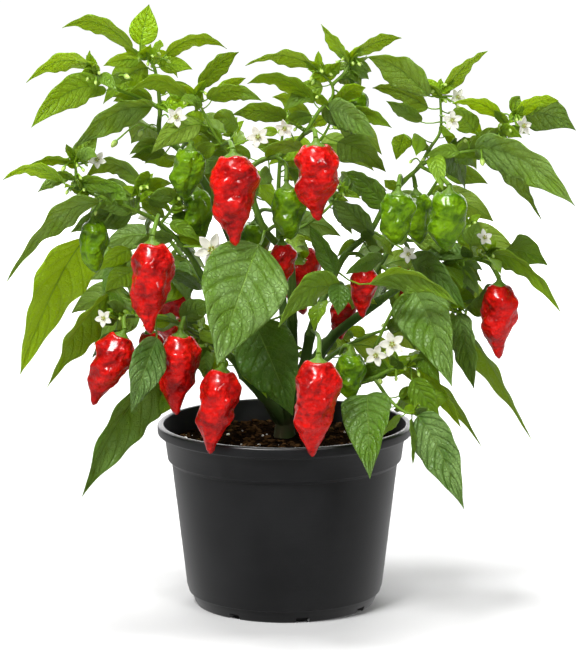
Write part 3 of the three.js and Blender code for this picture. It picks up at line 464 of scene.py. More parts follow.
            [402, 296, -18, 415, 350, -30, 20, 20, 2], [415, 292, -24, 452, 387, -60, 38, 22, 6, 0.7, 0.9],
            [458, 314, -14, 474, 389, -30, 26, 50, 3], [452, 312, 2, 531, 439, 16, 28, 66, 6, 0.4, 0.6],
            [367, 395, -62, 370, 479, -112, 34, 8, 6], [418, 416, -54, 464, 509, -84, 30, 22, 6],
            [412, 380, -38, 440, 425, -46, 18, 20, 2, 0.45, 0.3],
            [420, 366, -26, 461, 428, -20, 18, 60, 3, 0.1, 0.1],
            [396, 366, -14, 481, 446, 14, 20, 62, 12, 0.4, 0.4], [420, 352, -36, 440, 382, -46, 15, 30, 1],
        ],
        "young_leaves": [
            [410, 367, -32, 424, 358, -40, 10, 40, 1], [414, 414, -50, 428, 408, -58, 8, 40, 1],
            [400, 369, -31, 392, 356, -42, 9, 40, 1],
        ],
        "far_turns": [1, 3, 5],
        "pods": [
            ["green_pod_9", [350, 356, -48], [350, 400, -50], 20,
                [[356, 381, -22], [342, 362, -22], [345, 346, -42]]],
        ],
        "flowers": [["flower_4", [392, 344, -48], 17, 0, 5], ["flower_5", [376, 355, -52], 15, -10, -5]],
        "buds": [[380, 380, -34, 6], [396, 376, -36, 4], [386, 352, -34, 4], [418, 372, -38, 4]],
    },
    "back_left": {
        "path": [
            [277, 406, 8], [250, 350, 32], [215, 300, 50], [185, 260, 62], [160, 225, 68], [140, 180, 66],
        ],
        "woody": 3,
        "twigs": [
            [[185, 260, 62], [140, 262, 72], [110, 258, 74]],
            [[200, 280, 56], [165, 296, 54], [135, 305, 52]],
        ],
        "leaves": [],
        "young_leaves": [],
        "far_turns": [0, 1, 2, 3, 4, 5, 6, 9, 10],
        "pods": [["red_pod_14", [172, 285, 92], [170, 352, 96], 28, [[185, 260, 62], [176, 266, 84]]]],
        "flowers": [["flower_15", [150, 215, 92], 17, 200, 10]],
        "buds": [[140, 176, 62, 4], [108, 256, 70, 4]],
    },
    "back_middle": {
        "path": [
            [284, 408, 8], [285, 340, 36], [280, 270, 54], [278, 210, 64], [280, 160, 66], [285, 110, 60],
        ],
        "woody": 3,
        "twigs": [
            [[278, 212, 64], [240, 170, 62], [230, 130, 56]],
            [[280, 165, 66], [320, 140, 62], [335, 112, 54]],
            [[279, 240, 59], [320, 215, 70], [345, 190, 72]],
        ],
        "leaves": [],
        "young_leaves": [],
        "far_turns": [1, 2, 4, 5, 6, 9, 16, 20, 21, 29, 39],
        "pods": [
            ["red_pod_15", [300, 250, 90], [302, 315, 92], 29, [[279, 240, 59], [296, 234, 82]]],
            ["green_pod_10", [256, 225, 88], [254, 275, 90], 22, [[278, 212, 64], [262, 210, 82]]],
        ],
        "flowers": [["flower_13", [330, 160, 84], 17, 170, 10]],
        "buds": [[290, 104, 56, 4], [228, 126, 50, 4], [338, 108, 48, 4]],
    },
    "back_right": {
        "path": [
            [292, 406, 8], [330, 340, 36], [365, 290, 54], [395, 240, 64], [425, 200, 68], [450, 160, 64],
        ],
        "woody": 3,
        "twigs": [
            [[395, 240, 64], [440, 240, 66], [470, 225, 62]],
            [[380, 265, 59], [410, 285, 54], [440, 285, 46]],
        ],
        "leaves": [],
        "young_leaves": [],
        "far_turns": [0, 1, 2, 3, 4, 6, 9, 11, 12],
        "pods": [["red_pod_11", [410, 262, 92], [412, 328, 96], 27, [[395, 240, 64], [406, 244, 84]]]],
        "flowers": [],
        "buds": [[452, 156, 60, 4], [474, 222, 58, 4]],
    },
    "back_low": {
        "path": [
            [286, 414, 8], [300, 388, 36], [318, 366, 58], [340, 350, 74], [370, 335, 84], [400, 325, 88],
        ],
        "woody": 3,
        "twigs": [[[320, 364, 60], [270, 345, 80], [230, 335, 88], [200, 330, 92]]],
        "leaves": [],
        "young_leaves": [],
        "far_turns": [0, 1, 2, 3, 5, 6],
        "pods": [],
        "flowers": [],
        "buds": [],
    },
}


# ---------------------------------------------------------------- making and placing

def deselect():
    if bpy.context.object and bpy.context.object.mode != "OBJECT":
        bpy.ops.object.mode_set(mode="OBJECT")
    bpy.ops.object.select_all(action="DESELECT")


def pick(*pieces):
    """Selects these pieces alone, the first one active."""
    deselect()
    for piece in pieces:
        piece.select_set(True)
    bpy.context.view_layer.objects.active = pieces[0]


def primitive(add, **settings):
    """A new primitive, added with nothing else selected."""
    deselect()
    add(**settings)
    return bpy.context.object


def grid(rows, columns):
    """A flat sheet from -1 to 1 both ways, with a UV map."""
    deselect()
    bpy.ops.mesh.primitive_grid_add(x_subdivisions=columns, y_subdivisions=rows, size=2, calc_uvs=True)
    return bpy.context.object


def ball(segments, rings):
    piece = primitive(bpy.ops.mesh.primitive_uv_sphere_add, segments=segments, ring_count=rings, radius=1)
    soften(piece)
    return piece


def added(name, data):
    """A new object in the scene: a camera, a light or a curve."""
    thing = bpy.data.objects.new(name, data)
    bpy.context.scene.collection.objects.link(thing)
    return thing


def named(piece, name):
    piece.name = name
    piece.data.name = name
    return piece


def copy_of(template):
    piece = template.copy()
    piece.data = template.data.copy()
    bpy.context.scene.collection.objects.link(piece)
    return piece


def corners_of(piece):
    places = np.empty(3 * len(piece.data.vertices), np.float32)
    piece.data.vertices.foreach_get("co", places)
    return places.reshape(-1, 3).astype(float)


def move_corners(piece, places):
    piece.data.vertices.foreach_set("co", np.asarray(places, np.float32).ravel())
    piece.data.update()


def turned_to(way):
    """Turns +Z to the way."""
    return Vector((0, 0, 1)).rotation_difference(way).to_matrix().to_4x4()


def put(piece, place, size, turn=Matrix.Identity(4)):
    """Sizes, turns and moves a piece's mesh. The object stays at the origin."""
    piece.data.transform(Matrix.Translation(place) @ turn @ Matrix.Diagonal((*size, 1)))


def joined(name, pieces):
    pick(*pieces)
    bpy.ops.object.join()
    return named(pieces[0], name)


def apply_modifier(piece, kind, **settings):
    pick(piece)
    modifier = piece.modifiers.new(kind.lower(), kind)
    for name, value in settings.items():
        setattr(modifier, name, value)
    bpy.ops.object.modifier_apply(modifier=modifier.name)


def soften(piece, degrees=180):
    """Smooth shading, with sharp edges where faces meet at more than the degrees."""
    pick(piece)
    if degrees >= 180:
        bpy.ops.object.shade_smooth()
    else:
        bpy.ops.object.shade_smooth_by_angle(angle=math.radians(degrees))


def mark(piece, name, value):
    """Gives the piece's corners a number, or a number each, for its material."""
    layer = piece.data.attributes.get(name) or piece.data.attributes.new(name, "FLOAT", "POINT")
    values = np.zeros(len(piece.data.vertices), np.float32) + value
    layer.data.foreach_set("value", values.astype(np.float32))


def dress(piece, *materials):
    piece.data.materials.clear()
    for material in materials:
        piece.data.materials.append(material)


def held_inside(places):
    """Places no further out than the solids reach."""
    low = np.array(cad_box[0]) + BOX_MARGIN * MM
    high = np.array(cad_box[1]) - BOX_MARGIN * MM
    low[2] = cad_box[0][2]
    return np.clip(places, low, high)


def hand_in(piece, slot, *nodes):
    """Ends the making of a piece, which then takes the place of the nodes."""
    move_corners(piece, held_inside(corners_of(piece)))
    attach(piece, "root")
    if nodes:
        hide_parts(*nodes)


def gather(name, pieces, skin, slot, *nodes):
    """Many small pieces, joined and dressed, then ended as one piece."""
    whole = joined(name, pieces)
    dress(whole, skin)
    hand_in(whole, slot, *nodes)


# ---------------------------------------------------------------- view and light

def look_at_plant():
    """The camera stands where the picture was taken from."""
    camera = added("camera", bpy.data.cameras.new("camera"))
    camera.location = EYE * MM
    camera.rotation_euler = (math.pi / 2 - EYE_PITCH, 0, 0)
    camera.data.sensor_width = SENSOR
    camera.data.sensor_fit = "HORIZONTAL"
    camera.data.lens = SENSOR * EYE_FOCAL / PICTURE_WIDTH
    bpy.context.scene.camera = camera
    bpy.context.scene.view_settings.view_transform = "Standard"


def softbox(name, place, aim, size, watts):
    light = added(name, bpy.data.lights.new(name, "AREA"))
    light.location = place
    light.rotation_euler = (Vector(aim) - Vector(place)).to_track_quat("-Z", "Y").to_euler()
    light.data.shape = "RECTANGLE"
    light.data.size, light.data.size_y = size
    light.data.energy = watts
    light.visible_camera = False


def light_studio():
    """Softboxes, and a room whose glow changes with the direction."""
    for name, setup in SOFTBOXES.items():
        softbox(name, *setup)
    world = bpy.data.worlds.new("studio")
    world.use_nodes = True
    nodes = world.node_tree.nodes
    links = world.node_tree.links
    direction = nodes.new("ShaderNodeTexCoord")
    split = nodes.new("ShaderNodeSeparateXYZ")
    below = nodes.new("ShaderNodeMapRange")
    glow = nodes.new("ShaderNodeMapRange")
    for node, reach in ((below, 0.7), (glow, 0.1)):
        node.inputs["From Min"].default_value = -reach
        node.inputs["From Max"].default_value = reach
    below.inputs["To Min"].default_value = GLOW_BELOW_FRONT
    below.inputs["To Max"].default_value = GLOW_BELOW_BACK
    glow.inputs["To Max"].default_value = GLOW_ABOVE
    links.new(direction.outputs["Generated"], split.inputs[0])
    links.new(split.outputs["Y"], below.inputs["Value"])
    links.new(below.outputs[0], glow.inputs["To Min"])
    links.new(split.outputs["Z"], glow.inputs["Value"])
    links.new(glow.outputs[0], nodes["Background"].inputs["Strength"])
    nodes["Background"].inputs["Color"].default_value = (1, 1, 1, 1)
    bpy.context.scene.world = world


# ---------------------------------------------------------------- materials

class Value:
    """A number in a material. Python's operators add the Math nodes that work it out."""

    def __init__(self, finish, socket):
        self.finish = finish
        self.socket = socket

    def math(self, operation, *others, swap=False):
        values = [*others, self] if swap else [self, *others]
        return self.finish.value("ShaderNodeMath", {"operation": operation}, dict(enumerate(values)))

    def __add__(self, other):
        return self.math("ADD", other)

    def __sub__(self, other):
        return self.math("SUBTRACT", other)

    def __rsub__(self, other):
        return self.math("SUBTRACT", other, swap=True)

    def __mul__(self, other):
        return self.math("MULTIPLY", other)

    def __pow__(self, other):
        return self.math("POWER", other)

    __radd__ = __add__
    __rmul__ = __mul__

    def size(self):
        return self.math("ABSOLUTE")

    def sine(self):
        return self.math("SINE")

    def over(self, low, high):
        """0 at low, 1 at high, smooth between."""
        inputs = {"Value": self, "From Min": low, "From Max": high}
        return self.finish.value("ShaderNodeMapRange", {"interpolation_type": "SMOOTHSTEP"}, inputs)


class Finish:
    """One material, with the nodes of its look."""

    def __init__(self, name):
        self.material = bpy.data.materials.new(name)
        self.material.use_nodes = True
        self.tree = self.material.node_tree
        self.shader = self.tree.nodes["Principled BSDF"]
        self.output = self.tree.nodes["Material Output"]

    def node(self, kind, settings=None, inputs=None):
        """A node of any kind, with its settings made first, then the values or links of its sockets."""
        node = self.tree.nodes.new(kind)
        for name, setting in (settings or {}).items():
            setattr(node, name, setting)
        for name, value in (inputs or {}).items():
            self.feed(node.inputs[name], value)
        return node

    def feed(self, socket, value):
        if isinstance(value, Value):
            value = value.socket
        if isinstance(value, bpy.types.NodeSocket):
            self.tree.links.new(value, socket)
        elif isinstance(value, tuple) and len(value) == 3 and socket.type == "RGBA":
            socket.default_value = (*value, 1)
        else:
            socket.default_value = value

    def value(self, kind, settings=None, inputs=None, output=0):
        return Value(self, self.node(kind, settings, inputs).outputs[output])

    def place(self):
        return self.node("ShaderNodeTexCoord").outputs["Object"]

    def parts(self, vector):
        """The three numbers of a vector."""
        split = self.node("ShaderNodeSeparateXYZ", {}, {0: vector})
        return [Value(self, output) for output in split.outputs]

    def sheet(self):
        """How far across and how far along its UV map a point lies, from 0 to 1."""
        return self.parts(self.node("ShaderNodeTexCoord").outputs["UV"])[:2]

    def stretched(self, vector, scale):
        return self.node("ShaderNodeMapping", {}, {"Vector": vector, "Scale": scale}).outputs[0]

    def noise(self, vector, scale, detail=3.0, roughness=0.5):
        inputs = {"Vector": vector, "Scale": scale, "Detail": detail, "Roughness": roughness}
        return self.value("ShaderNodeTexNoise", {}, inputs, "Fac")

    def cells(self, vector, scale, feature="F1"):
        inputs = {"Vector": vector, "Scale": scale}
        return self.value("ShaderNodeTexVoronoi", {"feature": feature}, inputs, "Distance")

    def attribute(self, name):
        return self.value("ShaderNodeAttribute", {"attribute_name": name}, {}, "Fac")

    def mix(self, share, first, second):
        """The first colour at share 0, the second at share 1."""
        inputs = {0: share, 6: first, 7: second}
        return self.node("ShaderNodeMix", {"data_type": "RGBA"}, inputs).outputs[2]

    def surface(self, **inputs):
        for name, value in inputs.items():
            self.feed(self.shader.inputs[name.replace("_", " ").title().replace("Ior", "IOR")], value)

    def bump(self, height, depth, strength=1.0):
        node = self.node("ShaderNodeBump", {}, {"Height": height, "Distance": depth, "Strength": strength})
        self.feed(self.shader.inputs["Normal"], node.outputs[0])

    def glow(self, colour):
        """Light of one colour that comes through from the other side."""
        return self.node("ShaderNodeBsdfTranslucent", {}, {"Color": colour}).outputs[0]

    def blend(self, share, first, second):
        """The first shader at share 0, the second at share 1."""
        return self.node("ShaderNodeMixShader", {}, {0: share, 1: first, 2: second}).outputs[0]

    def lets_light_through(self, share, glow):
        self.feed(self.output.inputs["Surface"], self.blend(share, self.shader.outputs[0], glow))


def dimmed(colour, share):
    return tuple(share * part for part in colour)


def leaf_finish(name, young, old, bloom, vein, roughness, relief):
    """Leaf skin, with a net of veins. The UV map runs across the blade and along it from its stalk."""
    finish = Finish(name)
    place = finish.place()
    age = finish.attribute("age")
    # Each leaf's share of the painted grey-green sheen.
    painted_sheen = finish.attribute("painted_sheen")
    across, along = finish.sheet()
    across = (across * 2 - 1).size()
    ridge = ((along - across ** VEIN_CURVE * VEIN_SWEEP) * (VEIN_PAIRS * math.pi)).sine().size()
    side_vein = (1 - ridge.over(0.0, 0.09)) * (1 - across.over(0.55, 1.0) * 0.7)
    midrib = 1 - across.over(0.0, 0.03)
    net = 1 - finish.cells(place, 330.0, "DISTANCE_TO_EDGE").over(0.0, 0.12)
    patches = finish.noise(place, 55.0, 3.0)
    speckle = finish.noise(place, 900.0, 2.0)
    crinkle = finish.noise(place, 130.0, 1.5, 0.5)
    # Painted sheen mask: where the grey-green sheen goes, in patches and on the bulges between the side
    # veins.
    painted_sheen_mask = patches.over(0.34, 0.6) * 0.65 + ridge.over(0.1, 0.6) * 0.35
    colour = finish.mix(age, young, old)
    colour = finish.mix(patches.over(0.3, 0.75) * age * 0.4, colour, dimmed(old, 0.5))
    # Painted sheen: the "bloom" colour, mixed in by the leaf's share of it.
    colour = finish.mix(painted_sheen ** 2.0 * (age * 0.5 + 0.4) * painted_sheen_mask, colour, bloom)
    colour = finish.mix(net * 0.12, colour, vein)
    # Painted shade: a thin darker band along each side vein, where the blade creases.
    colour = finish.mix((1 - ridge.over(0.03, 0.3)) * 0.05, colour, dimmed(old, 0.5))
    colour = finish.mix(side_vein * 0.4, colour, vein)
    colour = finish.mix(midrib * 0.7, colour, vein)
    finish.surface(
        base_color=colour,
        specular_ior_level=0.4,
        roughness=roughness + patches * 0.14 - midrib * 0.05,
    )
    raised = crinkle * 1.6 + speckle * 0.04 + ridge.over(0.0, 0.6) * 0.4
    finish.bump(raised - side_vein * 0.4 - net * 0.4 - midrib * 0.5, relief * MM)
    glow = finish.blend(age, finish.glow(LEAF_GLOW), finish.glow(dimmed(LEAF_GLOW, 0.4)))
    glow = finish.blend(midrib * 0.6 + side_vein * 0.35, glow, finish.glow(vein))
    finish.lets_light_through(0.35, glow)
    return finish.material


def stem_finish():
    """Green shoots: paler on top of fine lengthwise streaks, darker and purplish at their older ends."""
    finish = Finish("shoot_skin")
    place = finish.place()
    streaks = finish.noise(finish.stretched(place, (1, 1, 0.12)), 900.0, 3.0)
    patches = finish.noise(place, 60.0, 3.0)
    colour = finish.mix(finish.attribute("age"), YOUNG_SHOOT, OLD_SHOOT)
    colour = finish.mix(streaks.over(0.4, 0.75) * 0.3, colour, (0.22, 0.34, 0.03))
    colour = finish.mix(patches.over(0.55, 0.75) * 0.35, colour, (0.035, 0.045, 0.014))
    finish.surface(base_color=colour, specular_ior_level=0.25, roughness=0.42 + streaks * 0.15)
    finish.bump(streaks, 0.15 * MM, 0.7)
    return finish.material


def bark_finish():
    """The woody trunk: grey-green and brown bark with lengthwise cracks, green where the shoots start."""
    finish = Finish("bark")
    place = finish.place()
    cracks = finish.noise(finish.stretched(place, (1, 1, 0.22)), 420.0, 5.0, 0.65)
    patches = finish.noise(place, 70.0, 3.0)
    colour = finish.mix(patches.over(0.35, 0.65), (0.02, 0.045, 0.008), (0.045, 0.04, 0.018))
    colour = finish.mix(cracks.over(0.5, 0.72) * 0.5, colour, (0.09, 0.09, 0.045))
    colour = finish.mix(finish.attribute("age"), OLD_SHOOT, colour)
    finish.surface(base_color=colour, specular_ior_level=0.15, roughness=0.6 + cracks * 0.25)
    finish.bump(cracks, 0.5 * MM, 0.8)
    return finish.material


def pod_finish(name, deep, bright, fold, coat):
    """Waxy pod skin with fine pimples between its wrinkles, and painted shade in the creases of its shape.
    """
    finish = Finish(name)
    place = finish.place()
    patches = finish.noise(place, 75.0, 2.0)
    folds = finish.noise(finish.stretched(place, (1, 1, 1.4)), 125.0, 1.5, 0.4)
    pimples = finish.noise(place, 330.0, 1.0, 0.4)
    colour = finish.mix(folds.over(0.3, 0.6) * 0.4 + patches.over(0.3, 0.65) * 0.6, deep, bright)
    # Painted shade: darker in the creases of the pod's shape.
    colour = finish.mix(finish.attribute("painted_crease_shade") * 0.6, colour, fold)
    finish.surface(
        base_color=colour,
        roughness=0.34 + patches * 0.12,
        specular_ior_level=0.05,
        coat_weight=coat,
        coat_roughness=0.19,
    )
    finish.bump(folds + pimples * 0.6, 4.5 * MM, 0.9)
    return finish.material


def petal_finish():
    """Cream-white petals, greener towards their base."""
    finish = Finish("petal")
    across, along = finish.sheet()
    lines = (across * 60).sine()
    colour = finish.mix(1 - along.over(0.0, 0.3), (0.8, 0.79, 0.7), (0.5, 0.6, 0.24))
    colour = finish.mix(lines.over(0.2, 1.0) * 0.14, colour, (0.6, 0.64, 0.42))
    finish.surface(base_color=colour, roughness=0.5 - lines * 0.05)
    finish.bump(lines, 0.12 * MM, 0.5)
    finish.lets_light_through(0.15, finish.glow((0.9, 0.92, 0.75)))
    return finish.material


def bud_finish():
    """Buds: green at the cup and cream-white above it."""
    finish = Finish("bud_skin")
    grain = finish.noise(finish.place(), 900.0, 2.0)
    colour = finish.mix(finish.attribute("age"), (0.42, 0.56, 0.12), (0.14, 0.3, 0.02))
    colour = finish.mix(grain * 0.3, colour, (0.25, 0.4, 0.06))
    finish.surface(base_color=colour, roughness=0.4 + grain * 0.1)
    finish.bump(grain, 0.1 * MM, 0.5)
    return finish.material


def grain_finish(name, first, second, roughness, scale, gloss=0.5):
    """A small part with a mottled, slightly grained skin."""
    finish = Finish(name)
    grain = finish.noise(finish.place(), scale, 3.0)
    colour = finish.mix(grain.over(0.3, 0.7), first, second)
    finish.surface(base_color=colour, specular_ior_level=gloss, roughness=roughness + grain * 0.12)
    finish.bump(grain, 0.2 * MM, 0.6)
    return finish.material


def pot_finish():
    """Charcoal plastic, injection moulded: a fine grain, faint rings and rubbed lighter patches."""
    finish = Finish("pot_plastic")
    place = finish.place()
    height = finish.parts(place)[2]
    grain = finish.noise(place, 1500.0, 2.0)
    patches = finish.noise(place, 22.0, 4.0)
    scuffs = finish.noise(finish.stretched(place, (1, 1, 5)), 130.0, 4.0, 0.7).over(0.62, 0.8)
    rings = (height * 2600).sine()
    dust = (1 - height.over(0.004, 0.03)) * patches
    colour = finish.mix(patches.over(0.3, 0.7), (0.007, 0.0072, 0.0078), (0.011, 0.0113, 0.0121))
    colour = finish.mix(scuffs * 0.22 + dust * 0.2, colour, (0.03, 0.029, 0.028))
    finish.surface(
        base_color=colour,
        specular_ior_level=0.45,
        roughness=0.3 + patches * 0.14 + scuffs * 0.12,
    )
    finish.bump(grain * 0.35 + rings * 0.05 + patches * 0.4, 0.25 * MM, 0.5)
    return finish.material


def soil_finish():
    """Moist dark potting soil: crumbs, fibres and damp patches."""
    finish = Finish("soil")
    place = finish.place()
    crumbs = finish.noise(place, 320.0, 6.0, 0.7)
    damp = finish.noise(place, 45.0, 3.0)
    fibres = finish.cells(place, 380.0)
    colour = finish.mix(crumbs.over(0.35, 0.7), (0.002, 0.0012, 0.0007), (0.016, 0.009, 0.005))
    colour = finish.mix(damp.over(0.5, 0.7) * 0.5, colour, (0.003, 0.0018, 0.001))
    finish.surface(base_color=colour, specular_ior_level=0.0, roughness=0.72 + crumbs * 0.25)
    finish.bump(crumbs + fibres * 0.4, 2.2 * MM, 1.0)
    return finish.material


def floor_finish():
    """A pale floor that glows more with distance, so that it meets a white room."""
    finish = Finish("pale_floor")
    place = finish.place()
    grain = finish.noise(place, 6.0, 2.0)
    distance = finish.value("ShaderNodeVectorMath", {"operation": "LENGTH"}, {0: place}, "Value")
    glow = finish.mix(distance.over(0.2, 2.2), (0.0, 0.0, 0.0), (1.0, 1.0, 1.0))
    colour = finish.mix(grain, (0.6, 0.6, 0.6), (0.62, 0.62, 0.62))
    finish.surface(base_color=colour, roughness=0.8, emission_color=glow, emission_strength=1.0)
    return finish.material


# ---------------------------------------------------------------- lines and stems

def seen(place):
    """Where the viewer sees a column and a row of the picture, a number of mm behind the trunk."""
    column, row, back = place
    rise = (VIEW_MIDDLE_ROW - row) / EYE_FOCAL
    sight = Vector((
        (column - VIEW_MIDDLE_COLUMN) / EYE_FOCAL,
        math.cos(EYE_PITCH) + rise * math.sin(EYE_PITCH),
        rise * math.cos(EYE_PITCH) - math.sin(EYE_PITCH),
    ))
    return EYE + sight * ((back - EYE.y) / sight.y)


def on_line(places, share):
    """A point of the smooth line through the places, at a share of its spans."""
    spans = len(places) - 1
    first = min(int(share * spans), spans - 1)
    ends = [2 * places[0] - places[1], *places, 2 * places[-1] - places[-2]]
    a, b, c, d = ends[first:first + 4]
    t0 = 0
    t1 = t0 + math.sqrt((b - a).length)
    t2 = t1 + math.sqrt((c - b).length)
    t3 = t2 + math.sqrt((d - c).length)
    t = t1 + (t2 - t1) * (share * spans - first)
    ab = a.lerp(b, (t - t0) / (t1 - t0))
    bc = b.lerp(c, (t - t1) / (t2 - t1))
    cd = c.lerp(d, (t - t2) / (t3 - t2))
    abc = ab.lerp(bc, (t - t0) / (t2 - t0))
    bcd = bc.lerp(cd, (t - t1) / (t3 - t1))
    return abc.lerp(bcd, (t - t1) / (t2 - t1))


def smooth_line(places, per_span):
    steps = per_span * (len(places) - 1)
    return [on_line(places, i / steps) for i in range(steps + 1)]


def across_from(along, wish):
    """The way nearest to the wish that is square to the line."""
    return (wish - along * wish.dot(along)).normalized()


def nearest_on(lines, place):
    best = None
    for line in lines:
        for start, end in zip(line, line[1:]):
            run = end - start
            share = min(1, max(0, (place - start).dot(run) / run.length_squared))
            near = start + run * share
            if best is None or (near - place).length < (best - place).length:
                best = near
    return best


def taper(count, first, last, rate=1):
    return [first + (last - first) * (i / (count - 1)) ** rate for i in range(count)]


def tube(name, points, radii, age, sides=3):
    """A round stem through the points, with its radii in mm."""
    curve = bpy.data.curves.new(name, "CURVE")
    curve.dimensions = "3D"
    curve.bevel_depth = MM
    curve.bevel_resolution = sides
    curve.use_fill_caps = True
    spline = curve.splines.new("POLY")
    spline.points.add(len(points) - 1)
    for point, place, radius in zip(spline.points, points, radii):
        point.co = (*(place * MM), 1)
        point.radius = radius
    pick(added(name, curve))
    bpy.ops.object.convert(target="MESH")
    piece = bpy.context.object
    mark(piece, "age", age)
    soften(piece)
    return piece


def stem(name, places, first, last, ages, rate=1, per_span=5):
    """A tapering stem with a slight swelling at each of the places, where leaves or twigs part from it."""
    points = smooth_line(places, per_span)
    radii = taper(len(points), first, last, rate)
    for i in range(0, len(points), per_span):
        radii[i] *= JOINT_SWELLING
    piece = tube(name, points, radii, 0)
    reach = np.linalg.norm(corners_of(piece)[:, None] / MM - np.array(points), axis=2)
    mark(piece, "age", np.interp(reach.argmin(axis=1), (0, len(points) - 1), ages))
    return piece


# ---------------------------------------------------------------- leaves

def blade_sheet(rows, columns):
    """A flat blade of unit size, its rows closer at its base. Its UV map runs across it and along it."""
    sheet = grid(rows, columns)
    for loop in sheet.data.loops:
        place = sheet.data.vertices[loop.vertex_index].co
        along = ((place.y + 1) / 2) ** ROW_CROWDING
        sheet.data.uv_layers[0].data[loop.index].uv = ((place.x + 1) / 2, along)
    soften(sheet)
    return sheet


def blade_share(t):
    """Half width of a blade along it, 1 where it is widest."""
    shape = t ** BLADE_BASE_POWER * (1 - t) ** BLADE_TIP_POWER
    return shape / (BLADE_WIDEST ** BLADE_BASE_POWER * (1 - BLADE_WIDEST) ** BLADE_TIP_POWER)


def unit(rows):
    return rows / np.linalg.norm(rows, axis=1, keepdims=True)


def blade(sheets, base, tip, width, turn, rise, viewer, phase, age, painted_sheen):
    """One leaf's blade, bent along its midrib. Gives the piece, and places and normals along the midrib."""
    length = (tip - base).length
    size = 0 if length < SMALL_LEAF else 1 if length < LARGE_LEAF else 2
    fold = BLADE_FOLD + BLADE_FOLD_SPREAD * math.sin(phase) if size == 2 else SMALL_BLADE_FOLD
    fold = math.radians(fold)
    piece = copy_of(sheets[size])
    flat = corners_of(piece)
    # s runs across the blade from -1 to 1, t along it from 0 to 1.
    s = flat[:, :1]
    t = np.clip((flat[:, 1:2] + 1) / 2, 0, 1) ** ROW_CROWDING
    edge = np.abs(s)

    # The midrib is an arch from the base to the tip, and the blade faces the viewer, less its turn.
    arch = (base + tip) / 2 + Vector((0, 0, 2 * rise))
    start, top, end = (np.array(place) for place in (base, arch, tip))
    middle = (1 - t) ** 2 * start + 2 * t * (1 - t) * top + t ** 2 * end
    along = unit((1 - t) * (top - start) + t * (end - top))
    to_viewer = np.array(viewer)
    faced = unit(to_viewer - along * (along @ to_viewer)[:, None])
    side = np.cross(along, faced)
    angle = np.radians(turn + BLADE_TWIST * t * math.sin(3 * phase)) * np.where(side[:, 2:] < 0, 1, -1)
    normal = faced * np.cos(angle) + side * np.sin(angle)
    side = np.cross(along, normal)

    # Its halves are folded up from the midrib, waved at the edge and puffed up between the veins.
    half = width / 2 * blade_share(t) + 0.3 * (1 - t)
    wave = EDGE_WAVE * width * np.sin(EDGE_WAVE_RATE * t + phase) * np.minimum(1, 3 * half / width)
    ruffle = RUFFLE * width * np.sin(26 * t + 2 * phase + 2 * s) * edge ** 3 * np.sin(math.pi * t)
    cell = np.abs(np.sin(math.pi * VEIN_PAIRS * (t - VEIN_SWEEP * edge ** VEIN_CURVE))) ** 0.7
    inner = np.minimum(1, 4 * edge) * (1 - edge ** 3) * np.sin(math.pi * t) ** 0.6
    quilt = QUILT * width * cell * inner
    lift = half * math.sin(fold) * (1.25 * edge - 0.25 * edge ** 2) - wave * s * edge + ruffle + quilt
    places = middle + side * (half * math.cos(fold) * s) + normal * lift
    move_corners(piece, places * MM)
    mark(piece, "age", age)
    # The leaf's share of the painted sheen, for its skin.
    mark(piece, "painted_sheen", painted_sheen)
    rib = []
    for share in (0, 0.15, 0.3, 0.45, 0.6, 0.75, 0.9):
        nearest = int(np.argmin(np.abs(t[:, 0] - share) + edge[:, 0]))
        rib.append((Vector(middle[nearest]), Vector(normal[nearest])))
    return piece, rib


def leaf_age(length, row, luck):
    """Near 0 for a young bright leaf at the top, near 1 for an old dark one."""
    by_size = min(1, length / FULL_LEAF)
    by_row = min(1, max(0, (row - 60) / 210))
    return min(1, max(0, 0.3 * by_size + 0.65 * by_row + 0.4 * (luck - 0.5)))


def leaf_painted_sheen(length, luck):
    """Near 1 for a large leaf with a grey-green sheen painted on it."""
    return min(1, 0.7 * luck + 0.45 * min(1, length / FULL_LEAF))


def round_tip(line, number, luck):
    """Places close to a stem's tip, and the ways that grow out from it there."""
    ahead = (line[-1] - line[-2]).normalized()
    for i in range(number):
        angle = GOLDEN_ANGLE * i + luck.uniform(0, 1)
        aside = across_from(ahead, Vector((math.cos(angle), math.sin(angle), 0.3)))
        way = (ahead * luck.uniform(0.3, 1.2) + aside).normalized()
        yield line[-1] - ahead * luck.uniform(0, 9) + way, way


# ---------------------------------------------------------------- pods

def pod_outline(share, outline):
    """Radius of a pod along it, as a share of its half width."""
    fine = smooth_line([Vector((x, y, 0)) for x, y in outline], 8)
    return np.interp(share, [p.x for p in fine], [p.y for p in fine])


def pod_lumps(angle, along, phase, furrow):
    ends = np.minimum(1, np.minimum(6 * along, 4 * (1 - along)))
    furrows = furrow * (np.abs(np.cos(1.5 * angle + phase + 0.7 * along)) ** 0.6 * 2 - 1.4)
    bumps = 0.06 * np.sin(2 * angle + 11 * along + phase) + 0.04 * np.cos(5 * angle - 13 * along)
    return 1 + ends * (furrows + bumps)


def wrinkles(places, phase):
    """Rounded lumps with creases between them, from 0 in the creases up to about 1."""
    heights = []
    for x, y, z in places:
        broad = noise.noise(Vector((x / 12 + phase, y / 12, z / 9)))
        fine = noise.noise(Vector((x / 4.6, y / 4.6 - phase, z / 3.8)))
        heights.append(0.6 + 0.66 * broad + 0.28 * fine)
    return np.maximum(0, np.array(heights))[:, None]


